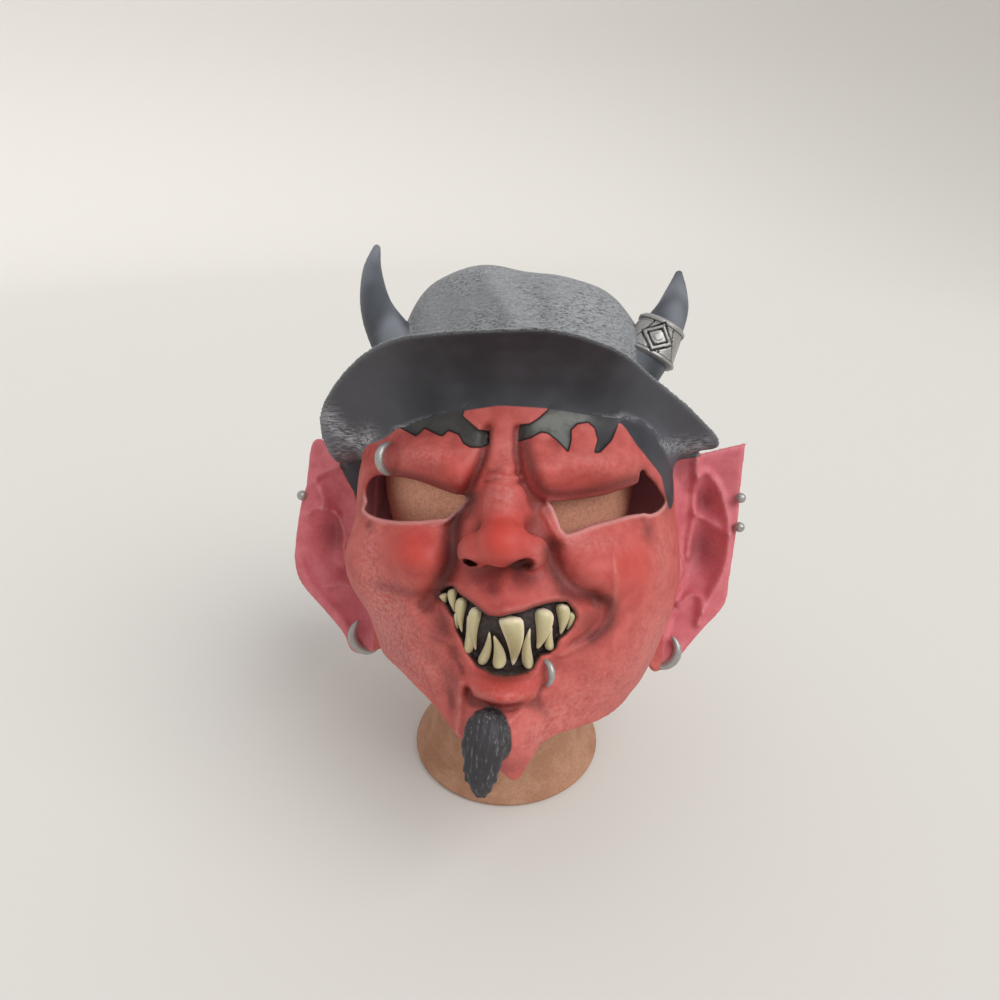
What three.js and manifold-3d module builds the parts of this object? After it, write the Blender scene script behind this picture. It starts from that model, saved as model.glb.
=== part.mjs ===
// Rubber devil mask on its display head, in millimetres, +Z up, the face towards -Y.
// The origin is the centre of the round foot's underside.
import * as THREE from "three";
import { mergeVertices } from "three/addons/utils/BufferGeometryUtils.js";
import Module from "manifold-3d";

const wasm = await Module();
wasm.setup();

// Driving dimensions of the display head.
const footRadius = 70;
const neckRadius = 50;
const headHalfWidth = 77.5;
const headHalfDepth = 85;
const headSetBack = 10;
const blockHeight = 339;

// How the mask sits on the display head: its own frame has the eyes at height 0 and the face towards -Y.
const wornAt = new THREE.Vector3(8.5, -5, 210);
const leanBack = THREE.MathUtils.degToRad(24);
const turn = THREE.MathUtils.degToRad(-3.4);
const sideTilt = THREE.MathUtils.degToRad(1.5);

// Driving dimensions of the casting.
const wall = 3.6;
const brimThickness = 4.5;
const studRadius = 3.4;
const hemBehind = -106;

// Half widths and depths of the hood by height: [height, half width, front depth, back depth].
const hoodSections = [
  [-146, 60, 84, 108],
  [-120, 76, 89, 113],
  [-90, 91, 92, 115],
  [-50, 103, 92, 114],
  [0, 99, 91, 112],
  [35, 94, 92, 108],
  [50, 90, 90, 104],
  [75, 84, 86, 98],
  [105, 76, 78, 88],
  [130, 60, 62, 70],
  [144, 38, 40, 46],
];

// Soft forms of the face, each a round swelling: place across and up, spread across and up, and how far it
// stands out from the hood.
const faceForms = [
  { name: "left brow", at: [-54, 26], spread: [26, 10], out: 13 },
  { name: "left brow, inner end", at: [-32, 16], spread: [11, 10], out: 8 },
  { name: "right brow", at: [42, 24], spread: [29, 12], out: 14 },
  { name: "right brow, inner end", at: [15, 15], spread: [9, 13], out: 7 },
  { name: "frown", at: [-6, 28], spread: [8, 14], out: -3 },
  { name: "left eye hollow", at: [-54, 0], spread: [26, 10], out: -9 },
  { name: "right eye hollow", at: [52, 0], spread: [28, 10], out: -9 },
  { name: "left cheek", at: [-58, -30], spread: [24, 16], out: 21 },
  { name: "right cheek", at: [50, -34], spread: [29, 19], out: 20 },
  { name: "left jowl", at: [-60, -84], spread: [22, 24], out: 7 },
  { name: "right jowl", at: [62, -84], spread: [26, 26], out: 8 },
  { name: "nose root", at: [-6, 2], spread: [14, 26], out: 12 },
  { name: "muzzle", at: [-1, -58], spread: [31, 21], out: 23 },
  { name: "left smile fold", at: [-38, -50], spread: [6, 20], out: -6 },
  { name: "right smile fold", at: [42, -52], spread: [6, 18], out: -6 },
  { name: "lower lip", at: [-4, -97], spread: [20, 7.5], out: 18 },
  { name: "chin", at: [-3, -124], spread: [22, 24], out: 20 },
];

// Round forms added to the hood, each hollowed to the wall: middle and half sizes.
const sideForms = [
  { name: "left cheek", at: [-77, -36, -38], size: [28, 32, 30] },
  { name: "left temple", at: [-86.5, -27, 4], size: [12.5, 30, 30] },
];

// The nose is a round ball and two wings below a bridge, with a hollow behind and two nostrils.
const noseForms = [
  { name: "ball", at: [-5, -113, -19], size: [14, 15, 12] },
  { name: "left wing", at: [-19.5, -105, -24], size: [9.5, 13, 9] },
  { name: "right wing", at: [9.5, -105, -24], size: [9.5, 13, 9] },
  { name: "bridge", at: [-6, -99, 3], size: [12, 15, 26] },
];
const noseHollows = [
  { name: "hollow", at: [-5, -106, -15], size: [8, 13, 9] },
  { name: "left nostril", at: [-17.5, -117, -29.5], size: [6.4, 11, 2.9] },
  { name: "right nostril", at: [5.5, -117, -29.5], size: [6.4, 11, 2.9] },
];

// The lower edge of the front, from one side to the other: [across, up].
const hemLine = [
  [-110, -97], [-80, -92], [-62, -96], [-47, -111], [-37.5, -122], [-28, -131], [-16, -137],
  [-3, -140], [4, -142], [8, -138], [14, -128.5], [21, -124], [31, -126.5], [46, -121],
  [57, -118], [64, -113], [74, -106], [110, -104],
];

// Corners of the eye openings, seen from the front: [across, up].
const leftEye = [
  [-85, 16], [-91, 4], [-88, -4], [-90, -7.5], [-78, -11.7], [-57, -11.4], [-38, -8.8], [-27.5, 2.5],
  [-44, 7.1], [-64, 12.2], [-77, 13],
];
const rightEye = [
  [18, 2], [35, 3.3], [50, 6.2], [67, 12], [69.5, 20], [79, 12.5], [86.7, 1.4],
  [77, -4.8], [61, -5.7], [40, -10.6], [28, -14.6],
];

// Outline of the mouth, with the grin's corners higher than its middle.
const mouth = [
  [-40, -50], [-33, -45], [-20, -52], [-9, -57], [6, -54], [17, -50], [29, -50], [34, -59], [28, -69],
  [23, -76], [15, -80], [9, -88.6], [-6, -89.6], [-18, -87], [-27, -73.5], [-31, -61.8],
];
const mouthDepth = 8;
const toothSetBack = 5.6;
const toothHalfDepth = 5;

// Teeth: root across and up, tip across and up, width.
const teeth = [
  [[-38, -49.9], [-36.4, -55.1], 4.6], [[-32.5, -46.6], [-31.1, -59.2], 5.4],
  [[-26.6, -50.3], [-26.8, -70.1], 6.4], [[-22.4, -82.4], [-22.9, -59.3], 4.8],
  [[-19, -53.5], [-19.6, -80.1], 7.8], [[-16.4, -87.3], [-11.1, -66.2], 5.6],
  [[-6.2, -88.1], [-8.8, -68.2], 7.4], [[0.2, -56.1], [1.4, -86.4], 14.4],
  [[8.1, -88.3], [8.8, -63.2], 6.4], [[16.8, -52.9], [14.1, -76.9], 10.2],
  [[20.7, -77.7], [21.4, -63.7], 5], [[26.4, -51], [26.2, -69], 7.6],
  [[31.8, -55.6], [29.6, -67.2], 4.6],
];

// Ear outlines seen from the front, from the top round the outside to the lobe: [out from the middle, up].
const leftEar = [
  [88, 32], [106, 30], [125, 24], [137, 35], [142, 30], [145, 4], [152, -33], [152, -50], [147, -63],
  [130, -80], [111, -105], [104, -110], [96, -107], [86, -88], [84, -25],
];
const rightEar = [
  [88, 30], [109, 30], [143, 38], [144.5, 34], [142.5, 8], [142, -8], [138, -46], [135, -66], [122, -81],
  [108, -101], [103, -110], [94, -113], [87, -106], [84, -70], [84, -20],
];

// Brim: where it leaves the hat and where its edge runs, from the front round by the wearer's left.
const brimRoot = [
  [0, -88, 52], [42, -78, 48], [74, -53, 34], [90, -22, 17], [90, 25, 24], [60, 78, 30],
  [0, 102, 32], [-60, 78, 30], [-90, 25, 24], [-90, -22, 17], [-75, -53, 31], [-42, -78, 46],
];
const brimEdge = [
  [0, -125, 87], [43, -110, 84], [77, -70, 70], [121, -25, 40], [108, 30, 27], [78, 106, 24],
  [0, 138, 22], [-76, 112, 24], [-113, 42, 24], [-117, -28, 21], [-117, -53, 54], [-70, -101, 84],
];

// Horns, the goatee and its locks: points along the middle line with the radius there: [x, y, z, radius].
const leftHorn = [
  [-57, -36, 60, 16], [-77, -38, 92, 14], [-90.5, -31, 115, 10], [-96, -22, 139, 6.2],
  [-95.5, -13, 157, 2.5],
];
const rightHorn = [
  [55, -35, 62, 16.5], [74, -38, 90, 14.5], [87, -33, 112, 10.4], [91.5, -26, 126, 7.2],
  [94.5, -17, 142, 2.3],
];
const goatee = [
  [-11, -103, -106, 4], [-11, -106, -116, 10], [-12.5, -108, -128, 11.5], [-13, -108, -140, 9],
  [-12.5, -107, -153, 2],
];

// Jewellery. A ring shows as a crescent: its middle, radius, half thickness, the turn of its plane, the angle
// of its thickest place and how far round it runs.
const crescents = [
  {
    name: "brow", across: -70, up: 23, proud: -1.5,
    radius: 9, thick: 2.7, turned: 0.85, out: Math.PI, spread: 3,
  },
  {
    name: "lip", across: 17, up: -84.5, proud: -1.5,
    radius: 7.5, thick: 2, turned: -0.75, out: -0.1, spread: 3,
  },
];
const earrings = [
  { at: [-98.5, 1, -94], radius: 11.5, thick: 3.2, turned: 0.3, out: Math.PI + 0.55, spread: 3 },
  { at: [93.5, 1, -96], radius: 11.5, thick: 3.2, turned: -0.3, out: -0.6, spread: 3 },
];
const studs = [[-148, 3, -2.5], [142.5, 3, 4], [142.5, 3, -15]];
const cuffAt = [78, -37, 97];
const cuffTilt = THREE.MathUtils.degToRad(26);
const cuffProfile = [
  [6, -11.5], [16.6, -11.5], [17.2, -9], [15.7, -7.4], [13.4, 7], [14.2, 11.5], [6, 11.5],
];
const cuffBoss = { out: 14, size: [8.6, 6.4, 2.4] };

// Heights where the face ends and where the top of the crown starts to round over.
const faceTop = 60;
const domeFrom = 131;

const point = (p) => new THREE.Vector3(...p);
const blend = THREE.MathUtils.lerp;

// A closed mesh whose shared corners are merged, as a solid with its faces turned out.
function solid(geometry) {
  const bare = geometry.clone();
  bare.deleteAttribute("normal");
  bare.deleteAttribute("uv");
  const merged = mergeVertices(bare, 1e-4);
  const vertProperties = new Float32Array(merged.attributes.position.array);
  const triVerts = new Uint32Array(merged.index.array);
  const made = new wasm.Manifold(new wasm.Mesh({ numProp: 3, vertProperties, triVerts }));
  if (made.volume() > 0) return made;
  return new wasm.Manifold(new wasm.Mesh({ numProp: 3, vertProperties, triVerts: triVerts.reverse() }));
}

// The same solid with its corners moved onto a fine grid, so that slivers left by the cuts close up.
function tidied(body) {
  const { vertProperties, triVerts } = body.getMesh();
  const grid = 0.01;
  const geometry = new THREE.BufferGeometry();
  const rounded = vertProperties.map((v) => Math.round(v / grid) * grid);
  geometry.setAttribute("position", new THREE.BufferAttribute(rounded, 3));
  geometry.setIndex(new THREE.BufferAttribute(triVerts, 1));
  const merged = mergeVertices(geometry, grid / 4);
  const corners = merged.index.array;
  const kept = [];
  for (let i = 0; i < corners.length; i += 3) {
    const [a, b, c] = corners.slice(i, i + 3);
    if (a !== b && b !== c && c !== a) kept.push(a, b, c);
  }
  merged.setIndex(kept);
  return solid(merged);
}

// Moves each corner of a geometry to the place that its two surface coordinates name.
function reshape(geometry, place) {
  const { position, uv } = geometry.attributes;
  for (let i = 0; i < position.count; i += 1) {
    position.setXYZ(i, ...place(uv.getX(i), uv.getY(i)).toArray());
  }
  return geometry;
}

// The hood's half width, front depth and back depth at a height, along a smooth curve.
const sectionCurves = [1, 2, 3].map((column) => new THREE.SplineCurve(
  hoodSections.map((row) => new THREE.Vector2(row[0], row[column])),
));
function hoodSection(height) {
  const rows = hoodSections.length - 1;
  const above = hoodSections.findIndex((row) => row[0] >= height);
  const k = above < 0 ? rows : Math.max(above, 1);
  const [low, high] = [hoodSections[k - 1][0], hoodSections[k][0]];
  const t = (k - 1 + THREE.MathUtils.clamp((height - low) / (high - low), 0, 1)) / rows;
  return sectionCurves.map((curve) => curve.getPoint(t).y);
}

// How far the face stands out from the plain hood at a place seen from the front.
function relief(across, up) {
  return faceForms.reduce((sum, { at, spread, out }) => {
    const a = (across - at[0]) / spread[0];
    const b = (up - at[1]) / spread[1];
    return sum + out * Math.exp(-a * a - b * b);
  }, 0);
}

// How far the face lies in front of the middle plane at a place seen from the front.
function faceDepth(across, up) {
  const [width, front] = hoodSection(up);
  const facing = Math.sqrt(Math.max(1 - (across / width) ** 2, 0));
  return facing * front + relief(across, up) * facing ** 0.6;
}

// The open lower edge hangs lowest under the chin and is level behind.
function hemHeight(across, forward) {
  const k = Math.max(hemLine.findIndex(([x]) => x >= across), 1);
  const [[x0, z0], [x1, z1]] = [hemLine[k - 1], hemLine[k]];
  const front = blend(z0, z1, THREE.MathUtils.clamp((across - x0) / (x1 - x0), 0, 1));
  return blend(hemBehind, front, THREE.MathUtils.smoothstep(forward, 0, 30));
}

// The slouched top of the hat: a bump on one side and a lower shelf on the other.
function crownTop(across) {
  const [crownHeight, slumpDepth, shelfRise] = [149.5, 14.5, 0.05];
  const slump = slumpDepth * THREE.MathUtils.smoothstep(across, -46, 12);
  return crownHeight - slump + shelfRise * Math.max(across - 10, 0);
}

// The crown leans to one side the higher it rises.
function crownLean(up) {
  return -5.5 * THREE.MathUtils.smoothstep(up, 92, 140);
}

// A place on the hood: an angle round it from the wearer's right, a share of the way from hem to crown, and
// an inset.
function hoodPlace(angle, share, inset) {
  const [acrossDir, frontDir] = [-Math.cos(angle), Math.sin(angle)];
  const domeStart = 0.86;
  const rough = hoodSection(hemBehind);
  const hem = hemHeight(acrossDir * rough[0], frontDir * rough[1]);
  const shoulder = domeFrom - inset;
  if (share <= domeStart) {
    const height = blend(hem, shoulder, share / domeStart);
    const [width, front, back] = hoodSection(height);
    const depth = frontDir > 0 ? front : back;
    const x = acrossDir * (width - inset);
    const bare = Math.abs(frontDir) * (depth - inset);
    const facing = Math.max(frontDir, 0) ** 0.6;
    const out = height < faceTop ? relief(x, height) * facing : 0;
    return new THREE.Vector3(x + crownLean(height), -Math.sign(frontDir) * (bare + out), height);
  }
  const t = (share - domeStart) / (1 - domeStart);
  const [width, front, back] = hoodSection(shoulder);
  const depth = frontDir > 0 ? front : back;
  const reach = Math.cos(t * Math.PI / 2);
  const x = acrossDir * (width - inset) * reach + crownLean(shoulder);
  const y = -frontDir * (depth - inset) * reach;
  const height = blend(shoulder, crownTop(x) - inset, Math.sin(t * Math.PI / 2));
  return new THREE.Vector3(x, y, height);
}

// The columns of the hood are closed up towards the face, where the detail is.
function gathered(u) {
  const even = u * 2 * Math.PI;
  return even + 0.5 * Math.cos(even);
}

// The hood is one open shell: down its outside from the crown to the hem, then up its inside.
function makeHood() {
  const columns = 40;
  const rows = 28;
  const outerShare = 0.72;
  const shape = new THREE.SphereGeometry(1, columns, rows);
  return solid(reshape(shape, (u, v) => {
    const outside = v >= 1 - outerShare;
    const share = outside ? (v - 1 + outerShare) / outerShare : 1 - v / (1 - outerShare);
    return hoodPlace(gathered(u), share, outside ? 0 : wall);
  }));
}

// What lies more than an inset behind the hood's outside, closed by a floor at the hem.
function hoodCore(inset) {
  const rows = 20;
  const floor = new THREE.Vector3(0, 0, hemBehind);
  const shape = new THREE.SphereGeometry(1, 32, rows);
  return solid(reshape(shape, (u, v) => {
    const share = (v * rows - 1) / (rows - 1);
    return share < 0 ? floor : hoodPlace(gathered(u), share, inset);
  }));
}

// An outline moved outwards from its middle by about a margin.
function widened(outline, margin) {
  const corners = outline.map((corner) => new THREE.Vector2(...corner));
  const middle = corners.reduce((sum, p) => sum.add(p), new THREE.Vector2()).divideScalar(corners.length);
  return corners.map((corner) => {
    const away = corner.clone().sub(middle);
    return away.setLength(away.length() + margin).add(middle).toArray();
  });
}

// A cutter that goes straight back through an outline seen from the front, between two distances forward.
function frontCutter(outline, [from, to]) {
  const shape = new THREE.Shape(outline.map(([x, z]) => new THREE.Vector2(x, z)));
  const geometry = new THREE.ExtrudeGeometry(shape, { depth: to - from, bevelEnabled: false });
  geometry.rotateX(Math.PI / 2);
  geometry.translate(0, -from, 0);
  return solid(geometry);
}

// The brim is a ring whose section is drawn out flat between the hat and the edge, with a rolled rim.
function makeBrim() {
  const root = new THREE.CatmullRomCurve3(brimRoot.map(point), true, "catmullrom", 0.5);
  const edge = new THREE.CatmullRomCurve3(brimEdge.map(point), true, "catmullrom", 0.5);
  const sag = 7;
  const inside = 9;
  const ring = new THREE.TorusGeometry(1, 0.5, 6, 36);
  return solid(reshape(ring, (u, v) => {
    const [a, b] = [root.getPoint(u), edge.getPoint(u)];
    const out = b.clone().sub(a);
    const along = new THREE.Vector3(-a.y, a.x, 0).normalize();
    const normal = out.clone().cross(along).normalize();
    const reach = (1 - Math.cos(v * 2 * Math.PI)) / 2;
    const start = a.clone().addScaledVector(out, -inside / out.length());
    const thick = Math.sin(v * 2 * Math.PI) * brimThickness / 2 * (0.75 + 0.35 * reach);
    return start.lerp(b, reach)
      .addScaledVector(normal, sag * Math.sin(reach * Math.PI) + thick);
  }));
}

// A horn or a lock: round sections along a smooth line with a radius at each point, squeezed front to back.
function taper(points, flat = 1, sides = 8, steps = 8) {
  const line = new THREE.CatmullRomCurve3(points.map(([x, y, z]) => new THREE.Vector3(x, y, z)));
  const sizes = new THREE.SplineCurve(points.map(([, , , radius], i) => new THREE.Vector2(i, radius)));
  return solid(reshape(new THREE.SphereGeometry(1, sides, steps), (u, v) => {
    const along = THREE.MathUtils.clamp((v * steps - 1) / (steps - 2), 0, 1);
    const radius = v === 0 || v === 1 ? 0 : sizes.getPoint(along).y;
    const direction = line.getTangent(along);
    const across = new THREE.Vector3(0, 1, 0).cross(direction).normalize();
    const forward = direction.cross(across);
    const angle = -u * 2 * Math.PI;
    return line.getPoint(along)
      .addScaledVector(across, Math.cos(angle) * radius)
      .addScaledVector(forward, Math.sin(angle) * radius * flat);
  }));
}

// A pointed ear: a cupped dish with a rolled outer rim, thick where it leaves the head.
function makeEar(corners, side) {
  const places = corners.map(([x, z]) => new THREE.Vector3(x, 0, z));
  const outline = new THREE.CatmullRomCurve3(places, true, "catmullrom", 0.4);
  const middle = new THREE.Vector3(112, 0, -36);
  const [cup, rim, lean] = [12, 3, 0.16];
  const shape = new THREE.SphereGeometry(1, 20, 6);
  return solid(reshape(shape, (u, v) => {
    const front = v > 0.5;
    const spread = Math.sin(v * Math.PI) ** 0.7;
    const edge = outline.getPoint(side > 0 ? u : 1 - u);
    const place = middle.clone().lerp(edge, spread);
    const dish = cup * (1 - spread ** 3) + rim * Math.sin(spread * Math.PI * 2);
    const half = Math.sqrt(Math.max(1 - spread ** 2, 0)) * 3.5 + 1.4 * Math.sin(v * Math.PI);
    place.y = 2 + dish + (front ? -half : half) * (Math.abs(v - 0.5) > 1e-6 ? 1 : 0);
    place.y += lean * (place.x - 100);
    place.x *= side;
    return place;
  }));
}

// A tooth: a rounded peg that narrows to its tip.
function makeTooth([root, tip, width]) {
  const [from, to] = [new THREE.Vector2(...root), new THREE.Vector2(...tip)];
  const sideways = to.clone().sub(from).normalize().rotateAround(new THREE.Vector2(), Math.PI / 2);
  return solid(reshape(new THREE.SphereGeometry(1, 6, 5), (u, v) => {
    const angle = u * 2 * Math.PI;
    const along = (1 - Math.cos(v * Math.PI)) / 2;
    const girth = Math.sin(v * Math.PI) ** 0.6 * (1 - 0.8 * along);
    const at = from.clone().lerp(to, along);
    const depth = faceDepth(at.x, at.y) - toothSetBack;
    at.addScaledVector(sideways, Math.cos(angle) * girth * width * 0.6);
    return new THREE.Vector3(at.x, -depth + Math.sin(angle) * girth * toothHalfDepth, at.y);
  }));
}

// Part of a moulded ring in an upright plane, thick in its middle and thin where it enters the skin.
function makeCrescent({ at, radius, thick, turned, out, spread }) {
  const upright = new THREE.Vector3(0, 0, 1);
  return solid(reshape(new THREE.SphereGeometry(1, 6, 8), (u, v) => {
    const angle = out - (v - 0.5) * spread;
    const swell = thick * Math.sin(v * Math.PI) ** 0.5;
    const round = u * 2 * Math.PI;
    const reach = radius + swell * Math.cos(round);
    const across = reach * Math.cos(angle);
    const place = new THREE.Vector3(across, swell * Math.sin(round), reach * Math.sin(angle));
    return place.applyAxisAngle(upright, turned).add(point(at));
  }));
}

function ellipsoid({ at, size }, sides = 10, rows = 6) {
  return solid(new THREE.SphereGeometry(1, sides, rows).scale(...size).translate(...at));
}

// The cuff is a tapered band round the horn with a lozenge boss on its front.
function makeCuff() {
  const outline = [...cuffProfile, cuffProfile[0]].map((p) => new THREE.Vector2(...p));
  const band = new THREE.LatheGeometry(outline, 12);
  const boss = new THREE.SphereGeometry(1, 4, 2).scale(...cuffBoss.size).translate(0, 0, cuffBoss.out);
  const place = new THREE.Matrix4().makeRotationX(Math.PI / 2)
    .premultiply(new THREE.Matrix4().makeRotationY(cuffTilt))
    .setPosition(...cuffAt);
  return [band, boss].map((shape) => solid(shape.applyMatrix4(place)));
}

// The whole mask is one casting.
function makeMask() {
  const cavity = hoodCore(wall * 0.9);
  const throughFace = [25, 150];
  const mouthCut = frontCutter(mouth, throughFace).subtract(hoodCore(mouthDepth));
  const mouthWall = frontCutter(widened(mouth, wall), throughFace)
    .intersect(hoodCore(wall / 2)).subtract(hoodCore(mouthDepth + wall));
  let casting = makeHood();
  sideForms.forEach(({ at, size }) => {
    const hollow = ellipsoid({ at, size: size.map((half) => half - wall * 1.3) });
    casting = casting.add(ellipsoid({ at, size }).subtract(cavity)).subtract(hollow);
  });
  noseForms.forEach((form) => { casting = casting.add(ellipsoid(form).subtract(cavity)); });
  casting = casting.add(mouthWall).subtract(mouthCut);
  noseHollows.forEach((form) => { casting = casting.subtract(ellipsoid(form, 8, 6)); });
  [leftEye, rightEye].forEach((outline) => {
    casting = casting.subtract(frontCutter(outline, throughFace));
  });
  const outer = [
    makeBrim(), taper(leftHorn), taper(rightHorn), makeEar(leftEar, -1), makeEar(rightEar, 1),
    ...makeCuff(),
  ].reduce((sum, piece) => sum.add(piece));
  casting = casting.add(outer.subtract(cavity)).add(taper(goatee, 0.7));
  const onFace = crescents.map((ring) => {
    const forward = faceDepth(ring.across, ring.up) + ring.proud;
    return { ...ring, at: [ring.across, -forward, ring.up] };
  });
  const small = [
    ...teeth.map(makeTooth),
    ...[...onFace, ...earrings].map(makeCrescent),
    ...studs.map((at) => solid(new THREE.SphereGeometry(studRadius, 8, 5).translate(...at))),
  ];
  small.forEach((piece) => { casting = casting.add(piece); });
  const bodies = casting.decompose();
  const whole = bodies.reduce((most, body) => (body.volume() > most.volume() ? body : most));
  return tidied(whole);
}

// The display head: a flared round foot, a neck, and a plain oval head.
function makeDisplayHead() {
  const profile = new THREE.SplineCurve([
    [neckRadius + 12, 12], [neckRadius + 4, 36], [neckRadius, 70], [neckRadius + 1, 104], [63, 134],
    [73, 170], [headHalfWidth, 214], [headHalfWidth - 4, 254], [60, 296], [40, 323], [18, blockHeight - 3.5],
  ].map((p) => new THREE.Vector2(...p))).getPoints(13);
  const outline = [[0, 0], [footRadius, 0], [footRadius, 3], [footRadius - 2.5, 6]]
    .map((p) => new THREE.Vector2(...p));
  const lathe = new THREE.LatheGeometry([...outline, ...profile, new THREE.Vector2(0, blockHeight)], 24);
  lathe.rotateX(Math.PI / 2);
  const place = lathe.attributes.position;
  for (let i = 0; i < place.count; i += 1) {
    const up = place.getZ(i);
    const inHead = THREE.MathUtils.smoothstep(up, 100, 180);
    const deeper = blend(1, headHalfDepth / headHalfWidth, inHead);
    place.setY(i, place.getY(i) * deeper + headSetBack * inHead);
  }
  return solid(lathe);
}

function meshOf(name, body, colour, roughness) {
  const { vertProperties, triVerts } = body.getMesh();
  const geometry = new THREE.BufferGeometry();
  geometry.setAttribute("position", new THREE.BufferAttribute(vertProperties, 3));
  geometry.setIndex(new THREE.BufferAttribute(triVerts, 1));
  geometry.computeVertexNormals();
  const look = new THREE.MeshStandardMaterial({ color: colour, roughness, metalness: 0 });
  const mesh = new THREE.Mesh(geometry, look);
  mesh.name = name;
  return mesh;
}

const worn = new THREE.Group();
worn.position.copy(wornAt);
worn.rotation.set(-leanBack, sideTilt, turn, "XZY");
worn.add(meshOf("latex_mask", makeMask(), 0xb8343a, 0.55));

const part = new THREE.Group();
part.add(meshOf("display_head", makeDisplayHead(), 0xa97c5f, 0.8), worn);
export default part;
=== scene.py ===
# %% [markdown]
# # A rubber devil mask on a canvas display head
#
# The real object is one casting: a sculptor models the devil in clay, takes a plaster mould of it, and
# pours liquid latex in. The skin that sets on the plaster is pulled out as one flexible shell and painted.
# So this scene has one mask piece, sculpted as a whole, and one canvas head block that wears it.
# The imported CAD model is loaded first, because it fixes the sizes and the place of everything.

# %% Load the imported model
import math

import bmesh
import bpy
import numpy as np
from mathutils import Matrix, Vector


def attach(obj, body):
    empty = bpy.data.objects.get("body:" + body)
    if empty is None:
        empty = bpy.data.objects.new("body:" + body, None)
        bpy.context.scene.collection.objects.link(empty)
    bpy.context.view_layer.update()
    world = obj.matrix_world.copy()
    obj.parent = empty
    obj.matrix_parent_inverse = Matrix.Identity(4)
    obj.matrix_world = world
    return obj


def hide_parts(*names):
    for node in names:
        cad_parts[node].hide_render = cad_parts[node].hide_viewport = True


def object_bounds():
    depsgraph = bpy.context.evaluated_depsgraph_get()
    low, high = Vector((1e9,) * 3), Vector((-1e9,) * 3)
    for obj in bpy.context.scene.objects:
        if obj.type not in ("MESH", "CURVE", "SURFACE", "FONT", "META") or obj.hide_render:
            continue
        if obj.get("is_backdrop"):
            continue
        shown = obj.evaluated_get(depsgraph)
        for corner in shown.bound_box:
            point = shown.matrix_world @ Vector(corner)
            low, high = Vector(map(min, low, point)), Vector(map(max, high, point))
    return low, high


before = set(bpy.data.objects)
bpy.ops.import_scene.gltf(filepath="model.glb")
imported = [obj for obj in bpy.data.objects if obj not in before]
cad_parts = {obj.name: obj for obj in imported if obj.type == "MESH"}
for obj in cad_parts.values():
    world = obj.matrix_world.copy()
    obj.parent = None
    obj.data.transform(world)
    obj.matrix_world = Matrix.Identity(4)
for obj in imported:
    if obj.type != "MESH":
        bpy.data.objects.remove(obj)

import openvdb as vdb
from mathutils import Matrix, Vector

cad_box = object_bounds()
print("CAD box in metres:", [list(map(float, corner)) for corner in cad_box])

# %% [markdown]
# ## Camera first
#
# The photograph looks down at the mask from a standing person's height. The camera's place and its lens
# were found from the round foot, which is a circle of known size seen as an ellipse: how flat the ellipse
# is gives the angle down, and its width gives the distance.

# %% Camera
MM = 0.001
camera_at = (-5.0, -447.0, 427.0)
looking_down = math.radians(26.3)
focal_pixels = 751.0
picture_width = 1000.0

camera = bpy.data.objects.new("camera", bpy.data.cameras.new("camera"))
bpy.context.scene.collection.objects.link(camera)
camera.location = [v * MM for v in camera_at]
camera.rotation_euler = (math.pi / 2 - looking_down, 0.0, 0.0)
camera.data.sensor_width = 36.0
camera.data.lens = focal_pixels / picture_width * camera.data.sensor_width
bpy.context.scene.camera = camera
print("lens in mm:", round(camera.data.lens, 2))

# %% [markdown]
# ## How the mask sits on the head
#
# The mask is sculpted in its own frame, in millimetres: the eyes are at height 0 and the face looks
# towards -Y. Worn on the head block it leans back, so that its face meets the camera. The same three
# turns are used in the CAD model, and the finished mesh is turned by them. Its patterns are turned back,
# so they are still measured from the eyes.

# %% The mask's own frame
worn_at = Vector((8.5, -5.0, 210.0)) * MM
lean_back = math.radians(24.0)
turn = math.radians(-3.4)
side_tilt = math.radians(1.5)
worn = (
    Matrix.Translation(worn_at)
    @ Matrix.Rotation(-lean_back, 4, "X")
    @ Matrix.Rotation(turn, 4, "Z")
    @ Matrix.Rotation(side_tilt, 4, "Y")
)

# %% [markdown]
# ## Sculpting in voxels
#
# A soft cast face with lips, ears, a brim and horns that all flow into each other is hard to build from
# one grid of quads. Metaballs would be too blobby, and booleans leave hard seams. A distance field is the
# closest thing to clay: every form is a number per voxel (how far outside the form it lies), two forms
# are joined with a smooth minimum, which leaves a fillet as a thumb would, and a hole is a smooth maximum.

# %% The block of voxels
voxel = 1.25
block_low = np.array([-160.0, -146.0, -162.0])
block_high = np.array([162.0, 144.0, 172.0])
sides = [np.arange(a, b, voxel, dtype=np.float32) for a, b in zip(block_low, block_high)]
X = sides[0][:, None, None]
Y = sides[1][None, :, None]
Z = sides[2][None, None, :]
shape = tuple(len(side) for side in sides)
print("voxels:", shape, round(shape[0] * shape[1] * shape[2] / 1e6, 1), "million")

# %% Joining and cutting forms
fillets = {
    # radius in millimetres where a form melts into the casting
    "cheek and temple": 14.0, "nose": 7.0, "goatee": 3.0, "brim": 7.0, "horns": 3.0, "ears": 6.0,
}
nothing_near = 20.0


def join(a, b, fillet):
    """Two forms joined with a fillet of about this radius."""
    h = np.maximum(fillet - np.abs(a - b), 0.0) / fillet
    return np.minimum(a, b) - h * h * fillet * 0.25


def cut(a, b, fillet):
    """Form a without form b, with its new edge rounded."""
    h = np.maximum(fillet - np.abs(a + b), 0.0) / fillet
    return np.maximum(a, -b) + h * h * fillet * 0.25


# %% Working on a part of the block
def span(axis, low, high):
    """The slice of voxels between two places along an axis."""
    start, stop = np.searchsorted(sides[axis], [low, high])
    return slice(max(int(start) - 1, 0), min(int(stop) + 1, shape[axis]))


def region(low, high):
    """The slices of the box between two corners, and its open coordinate grids."""
    part = tuple(span(i, low[i], high[i]) for i in range(3))
    return part, X[part[0]], Y[:, part[1]], Z[:, :, part[2]]


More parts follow.
